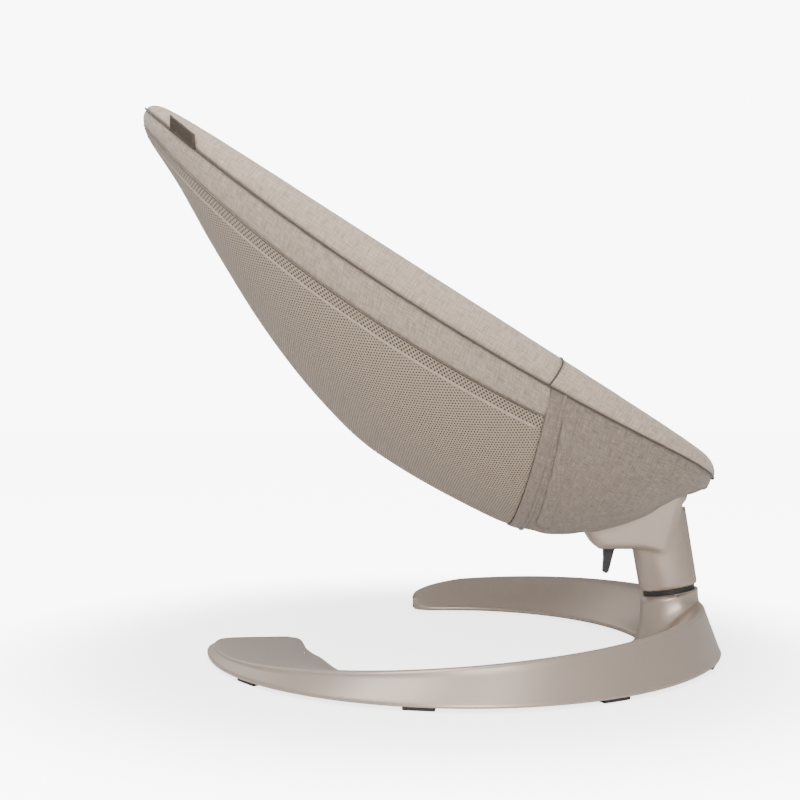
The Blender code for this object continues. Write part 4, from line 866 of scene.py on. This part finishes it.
def roll_rows(t):
    """Section at t: from the rim seam up round the roll and down into the hollow."""
    top = rim_top(t)
    centre = top - ROLL_R
    seam = seam_height(t) + 0.0006
    below = np.maximum(ROLL_R, centre - seam)
    low = np.arcsin(np.clip((seam - centre) / below, -1.0, 0.9))
    rows = []
    for k in np.linspace(0.0, 1.0, 26):
        a = low + (math.radians(190.0) - low) * k
        under = a < 0.0
        inset = np.where(under, 0.0035 * (1.0 - np.cos(a)), ROLL_R - ROLL_R * np.cos(a))
        height = np.where(under, below, ROLL_R) * np.sin(a)
        u, v = rim_plan(t, inset)
        rows.append(blunt(seat_point(u, v, centre + height)))
    depth = belly_depth(keel_u(t)) * (0.58 + 0.20 * smooth(keel_u(t) / SEAT_L, 0.15, 0.36))
    start = centre - ROLL_R * math.sin(math.radians(10.0)) - 0.001
    for share in np.concatenate([[0.992, 0.97, 0.94], np.linspace(0.9, 0.0, 26)]):
        rows.append(side_point(t, share, depth, start, 2.0 * ROLL_R))
    return np.stack(rows)


loop_t = 2.0 * np.pi * (np.arange(ROLL_COLUMNS) + 0.5) / ROLL_COLUMNS
roll_points = roll_rows(loop_t)
spin = loop_t[None, :]
down = np.linspace(0.0, 1.0, len(roll_points))[:, None]
waves = (np.sin(spin * 47.0 + 9.0 * down) * 0.4 + np.sin(spin * 29.0 - 14.0 * down + 1.0) * 0.5
         + np.sin(spin * 83.0 + 4.0 * down + 2.0) * 0.25)
on_roll = 1.0 - smooth(np.arange(len(roll_points)), 18, 27)[:, None]
in_hollow = 1.0 - on_roll
roll_in = roll_points - seat_point(SEAT_L / 2.0, 0.0, 0.02)
roll_in[..., 2] *= 0.4
roll_in = unit(roll_in)
seam_dip = -0.0011 * np.exp(-(np.arange(len(roll_points)) / 1.3) ** 2)[:, None]
cross_at = np.array([zip_angle(lambda t: roll_rows(t)[12], 0.006)])
near_cross = np.minimum(np.abs(loop_t - cross_at), np.abs(2.0 * np.pi - loop_t - cross_at))[None, :]
cross_dip = -0.0014 * np.exp(-(near_cross / 0.0065) ** 2) * on_roll
roll_points = roll_points + roll_in * (waves * 0.00035 * on_roll * smooth(down, 0.0, 0.08)
                                       + seam_dip + cross_dip)[..., None]
hollow_waves = waves * in_hollow * 0.0008 * smooth(1.0 - down, 0.0, 0.2)
roll_points = roll_points + UP_SEAT * hollow_waves[..., None]
loop_shut = np.concatenate([roll_points, roll_points[:, :1]], 1)
run = lengths(loop_shut, 1)[8][None, :].repeat(len(loop_shut), 0)
above = tuple(seat_point(SEAT_L * 0.5, 0.0, 0.5))
roll = clothed("rim_and_hammock", loop_shut, 0.0034, above, run, inwards=True)
finished(roll, "seat", rim_cloth, "woven_cloth", "seat_liner")

# ------------------------------------------------------------------ seams
# Thin stitched lines, coloured far darker than the cloth as painted shade of the seam grooves: one at the
# foot of the rim roll, one along each edge of the pale tape that crosses the knit 13 mm below its top edge.
thread_and_seam_shade = woven("seam_thread_painted_shade", (0.072, 0.054, 0.042), (0.055, 0.041, 0.031), (0.10, 0.078, 0.06), 0.6)
seam_t = np.linspace(0.0, 2.0 * np.pi, 361)[:-1] + np.pi / 360.0
seam_path = wall_point(seam_t, 1.0) + UP_SEAT * 0.0003
seam_out = unit(seam_path - seat_point(SEAT_L / 2.0, 0.0, -0.02))
rim_seam = cord_along("rim_seam", seam_path + seam_out * 0.0017, 0.0011, 8, closed=True)
finished(rim_seam, "seat", thread_and_seam_shade, "woven_cloth")


def level_line(points, fall):
    """Points across a cloth grid at a length down from its top edge, column by column."""
    down_by = lengths(points, 0)
    return np.stack([[np.interp(fall, down_by[:, j], points[:, j, axis]) for axis in range(3)]
                     for j in range(points.shape[1])])


def tape_on(name, points, start, width, lift, finish, spare=2):
    """A flat strip laid on a cloth grid, its middle raised by lift."""
    share = np.linspace(0.0, 1.0, 7)
    rows = np.stack([level_line(points, start + width * s) for s in share])
    away = unit(rows - seat_point(SEAT_L * 0.5, 0.0, -0.05))
    rows = rows + away * (lift * np.sin(share * np.pi) ** 0.4)[:, None, None]
    piece = clothed(name, rows[:, spare:-spare], 0.0004, SEAT_MIDDLE)
    return finished(piece, "seat", finish, "mesh_cloth")


tape_on("knit_tape", knit_points, 0.0132, 0.0030, 0.0006, tape_cloth)
tape_on("knit_top_seam", knit_points, 0.0002, 0.0015, 0.0009, thread_and_seam_shade)
# The cross seams use the same near-black cord, painted shade in the seam grooves.
for side in (1.0, -1.0):
    rows = roll_rows(side * cross_at)[:19, 0]
    rise = unit(rows - ZIP_MIDDLE)
    name = "cross_seam_far" if side > 0.0 else "cross_seam_near"
    stitch = cord_along(name, rows + rise * 0.0009, 0.0010, 8)
    finished(stitch, "seat", thread_and_seam_shade, "woven_cloth")

# ------------------------------------------------------------------ stitched tab
# A long rounded tab of the foot cover's weave, darkened as painted shade, sewn beside the flap on each
# side, 17 mm wide.
tab_down = np.linspace(0.0, 1.0, 40)[:, None]
tab_over = np.linspace(0.0, 1.0, 13)[None, :]
TAB_LONG, TAB_WIDE, TAB_ROUND = 0.112, 0.0165, 0.0085
tab_n = -0.046 - TAB_LONG * tab_down + 0.0 * tab_over
from_corner = 1.0 - np.clip(tab_down * TAB_LONG / TAB_ROUND, 0.0, 1.0)
round_top = TAB_ROUND * (1.0 - np.sqrt(np.maximum(1.0 - from_corner ** 2, 0.0)))
tab_right = 0.183 - 0.050 * tab_down
tab_u = tab_right + round_top + (TAB_WIDE - 2.0 * round_top) * tab_over
tab_points = wall_at(tab_u, tab_n)
tab_middle = seat_point(ZIP_U - 0.05, 0.0, -0.03)
tab_out = unit(tab_points - tab_middle)
raised = 0.0006 + (0.0016 * np.sin(tab_over * np.pi) ** 0.35
                   * np.sin(np.clip(tab_down * 8.0, 0.06, 0.5) * np.pi))
tab_points = tab_points + tab_out * raised[..., None]
for side, name in ((1.0, "tab_near"), (-1.0, "tab_far")):
    tab = clothed(name, tab_points * np.array([1.0, side, 1.0]), 0.0014, tuple(tab_middle),
                  tab_over * TAB_WIDE + 0.0 * tab_down)
    finished(tab, "seat", foot_cloth_painted_shade, "woven_cloth")

# ------------------------------------------------------------------ rim tag
# A blank folded leatherette tag sewn under the rim roll near the head, stitched round.
tag_brown = Finish("tag_leatherette", Roughness=0.55)
place = tag_brown.place()
pebble = tag_brown.node("ShaderNodeTexVoronoi", None, place, None, 900.0)
tag_brown.feed("Base Color", tag_brown.mix(pebble, rgb(0.040, 0.027, 0.020), rgb(0.070, 0.048, 0.037)))
tag_brown.bump(pebble, 0.3, 0.0003)
tag_u = np.linspace(0.6705, 0.7105, 30)
tag_t = np.pi - np.arccos((tag_u - SEAT_L / 2.0) / (SEAT_L / 2.0))
base = wall_point(-tag_t, 1.0) + np.array([0.0, -0.0042, -0.001])
rise = np.linspace(0.0, 1.0, 12)[:, None, None]
tag_points = (base[None] + rise * np.array([0.0, -0.0022, 0.0155])
              + np.array([0.0, -0.0014, 0.0]) * np.sin(rise * np.pi))
tag = clothed("rim_tag_blank", tag_points, 0.0014, tuple(base.mean(0) + np.array([0.0, 0.2, 0.0])))
finished(tag, "seat", tag_brown, "tag", "rim_tag")
border = np.concatenate([tag_points[1, 1:-1], tag_points[1:-1, -2], tag_points[-2, 1:-1][::-1],
                         tag_points[1:-1, 1][::-1]])
tag_thread = Finish("tag_thread", Roughness=0.8)
place = tag_thread.place()
tag_thread.feed("Base Color", tag_thread.mix(
    tag_thread.noise(place, 1800.0), rgb(0.05, 0.035, 0.028), rgb(0.15, 0.11, 0.09)))
edge_stitch = cord_along("tag_stitch", border + np.array([0.0, -0.0003, 0.0]), 0.00035, 6, closed=True)
finished(edge_stitch, "seat", tag_thread, "tag")

# ------------------------------------------------------------------ plain plastics and metals
# The carried-over hard parts: black moulded plastic, rubber feet, nylon webbing, zinc-plated
# and brushed steel, extruded aluminium.


def moulded(name, low, high, roughness, scale=700.0, **more):
    """Fine moulded grain between two tones."""
    made = Finish(name, **more)
    place = made.place()
    speckle = made.noise(place, scale, 2.0)
    made.feed("Base Color", made.mix(speckle, rgb(*low), rgb(*high)))
    made.feed("Roughness", speckle * 0.12 + (roughness - 0.06))
    made.bump(speckle, 0.12, 0.0003)
    return made


def brushed(name, low, high, roughness):
    """Metal with long fine scratches."""
    made = Finish(name, Metallic=1.0)
    place = made.place()
    lines = made.noise(made.scaled(place, (60.0, 2400.0, 2400.0)), 1.0, 2.0)
    made.feed("Base Color", made.mix(lines, rgb(*low), rgb(*high)))
    made.feed("Roughness", lines * 0.16 + (roughness - 0.08))
    made.bump(lines, 0.08, 0.0002)
    return made


def webbed(name, low, high):
    """Flat nylon webbing: ribs 1.6 mm apart across a fine diagonal weave."""
    made = Finish(name, Roughness=0.7, Sheen_Weight=0.15)
    place = made.place()
    parts = made.node("ShaderNodeSeparateXYZ", None, place)
    second = Value(made, parts.socket.node.outputs[1])
    ribs = (second * (2.0 * math.pi / 0.0016)).math("SINE") * 0.5 + 0.5
    twill = made.noise(place, 1500.0, 1.0)
    made.feed("Base Color", made.mix(ribs * 0.5 + twill * 0.5, rgb(*low), rgb(*high)))
    made.bump(ribs * 0.6 + twill * 0.4, 0.4, 0.0004)
    return made


black = moulded("black_plastic", (0.012, 0.012, 0.013), (0.022, 0.022, 0.024), 0.42)
rubber = moulded("rubber_foot", (0.020, 0.020, 0.020), (0.035, 0.034, 0.033), 0.75, 500.0)
steel = brushed("brushed_steel", (0.50, 0.50, 0.49), (0.62, 0.61, 0.60), 0.32)
aluminium = brushed("drawn_aluminium", (0.66, 0.66, 0.66), (0.76, 0.76, 0.77), 0.38)
webbing = webbed("nylon_webbing", (0.23, 0.195, 0.165), (0.36, 0.315, 0.27))
nylon = moulded("nylon_bearing", (0.60, 0.58, 0.53), (0.68, 0.66, 0.61), 0.45)
by_slot = {"champagne": champagne, "rubber_foot": rubber, "black_plastic": black,
           "frame_aluminium": aluminium, "woven_cloth": rim_cloth, "mesh_cloth": mesh_knit,
           "tag": tag_brown, "webbing": webbing, "nylon": nylon, "steel": steel}
for node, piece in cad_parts.items():
    if piece.hide_render:
        continue
    for k, was in enumerate(piece.data.materials):
        piece.data.materials[k] = by_slot[was.name.split(".")[0]].material

# ------------------------------------------------------------------ floor pads
# Black rubber pads under the ring, one at each pad's place, that reach to the outer edge.
for k, degrees in enumerate((-170.0, -142.0, -100.0, -60.0, -20.0, 32.0, 86.0)):
    arc = np.radians(degrees + np.linspace(-3.1, 3.1, 15))
    edge_r = OUTER_R + HEEL_OUT * math.exp(-(degrees / HEEL_SPREAD) ** 2) - 0.0022
    if k in (0, 6):  # the two end pads stay inside the ring's narrow tips
        edge_r = 0.268
    rows = []
    for radius, z in ((0.247, 0.0044), (0.2455, 0.0034), (0.2455, 0.0008), (0.2465, 0.0),
                      (edge_r - 0.001, 0.0), (edge_r, 0.0008), (edge_r, 0.0036), (edge_r - 0.0015, 0.0044)):
        rows.append(np.column_stack([RING_X + radius * np.cos(arc), radius * np.sin(arc),
                                     np.full(15, z)]))
    pad = surface(f"rubber_pad_{k + 1}", np.stack(rows), closed=True)
    close_up(pad)
    pad.data.set_sharp_from_angle(angle=math.radians(35.0))
    finished(pad, "base", rubber, "rubber_foot", f"foot_pad_{k + 1}")

# ------------------------------------------------------------------ crotch pad
# A small stuffed pad over the strap between the child's legs, under the buckle: its cloth
# is blown up by simulation and smoothed.
SWELL_FRAMES, SWELL_CAP = 20, 0.0022
pad_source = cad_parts["crotch_pad"]
swelling = bpy.data.objects.new("crotch_pad_cloth", pad_source.data.copy())
bpy.context.scene.collection.objects.link(swelling)
grid = swelling.modifiers.new("grid", "REMESH")
grid.mode = "VOXEL"
grid.voxel_size = 0.0022
bake(swelling)
start = np.array([v.co for v in swelling.data.vertices])
cloth = swelling.modifiers.new("cloth", "CLOTH")
cloth.settings.use_pressure = True
cloth.settings.uniform_pressure_force = 4.0
cloth.settings.effector_weights.gravity = 0.0
cloth.point_cache.frame_start, cloth.point_cache.frame_end = 1, SWELL_FRAMES
for step in range(1, SWELL_FRAMES + 1):
    bpy.context.scene.frame_set(step)
bake(swelling)
bpy.context.scene.frame_set(1)
end = np.array([v.co for v in swelling.data.vertices])
moved = end - start
far = np.linalg.norm(moved, axis=1, keepdims=True)
end = start + moved * np.minimum(1.0, SWELL_CAP / np.maximum(far, 1e-9))
swelling.data.vertices.foreach_set("co", end.ravel())
smoothing = swelling.modifiers.new("soften", "SMOOTH")
smoothing.factor, smoothing.iterations = 0.5, 6
finer = swelling.modifiers.new("finer", "SUBSURF")
finer.levels = finer.render_levels = 1
bake(swelling)
swelling.data.polygons.foreach_set("use_smooth", [True] * len(swelling.data.polygons))
co = np.array([v.co for v in swelling.data.vertices])
for key, axis in (("run", np.array([0.0, 1.0, 0.0])), ("fall", UP_SEAT)):
    made = swelling.data.attributes.new(key, "FLOAT", "POINT")
    made.data.foreach_set("value", (co @ axis).astype(np.float32))
finished(swelling, "seat", rim_cloth, "woven_cloth", "crotch_pad")
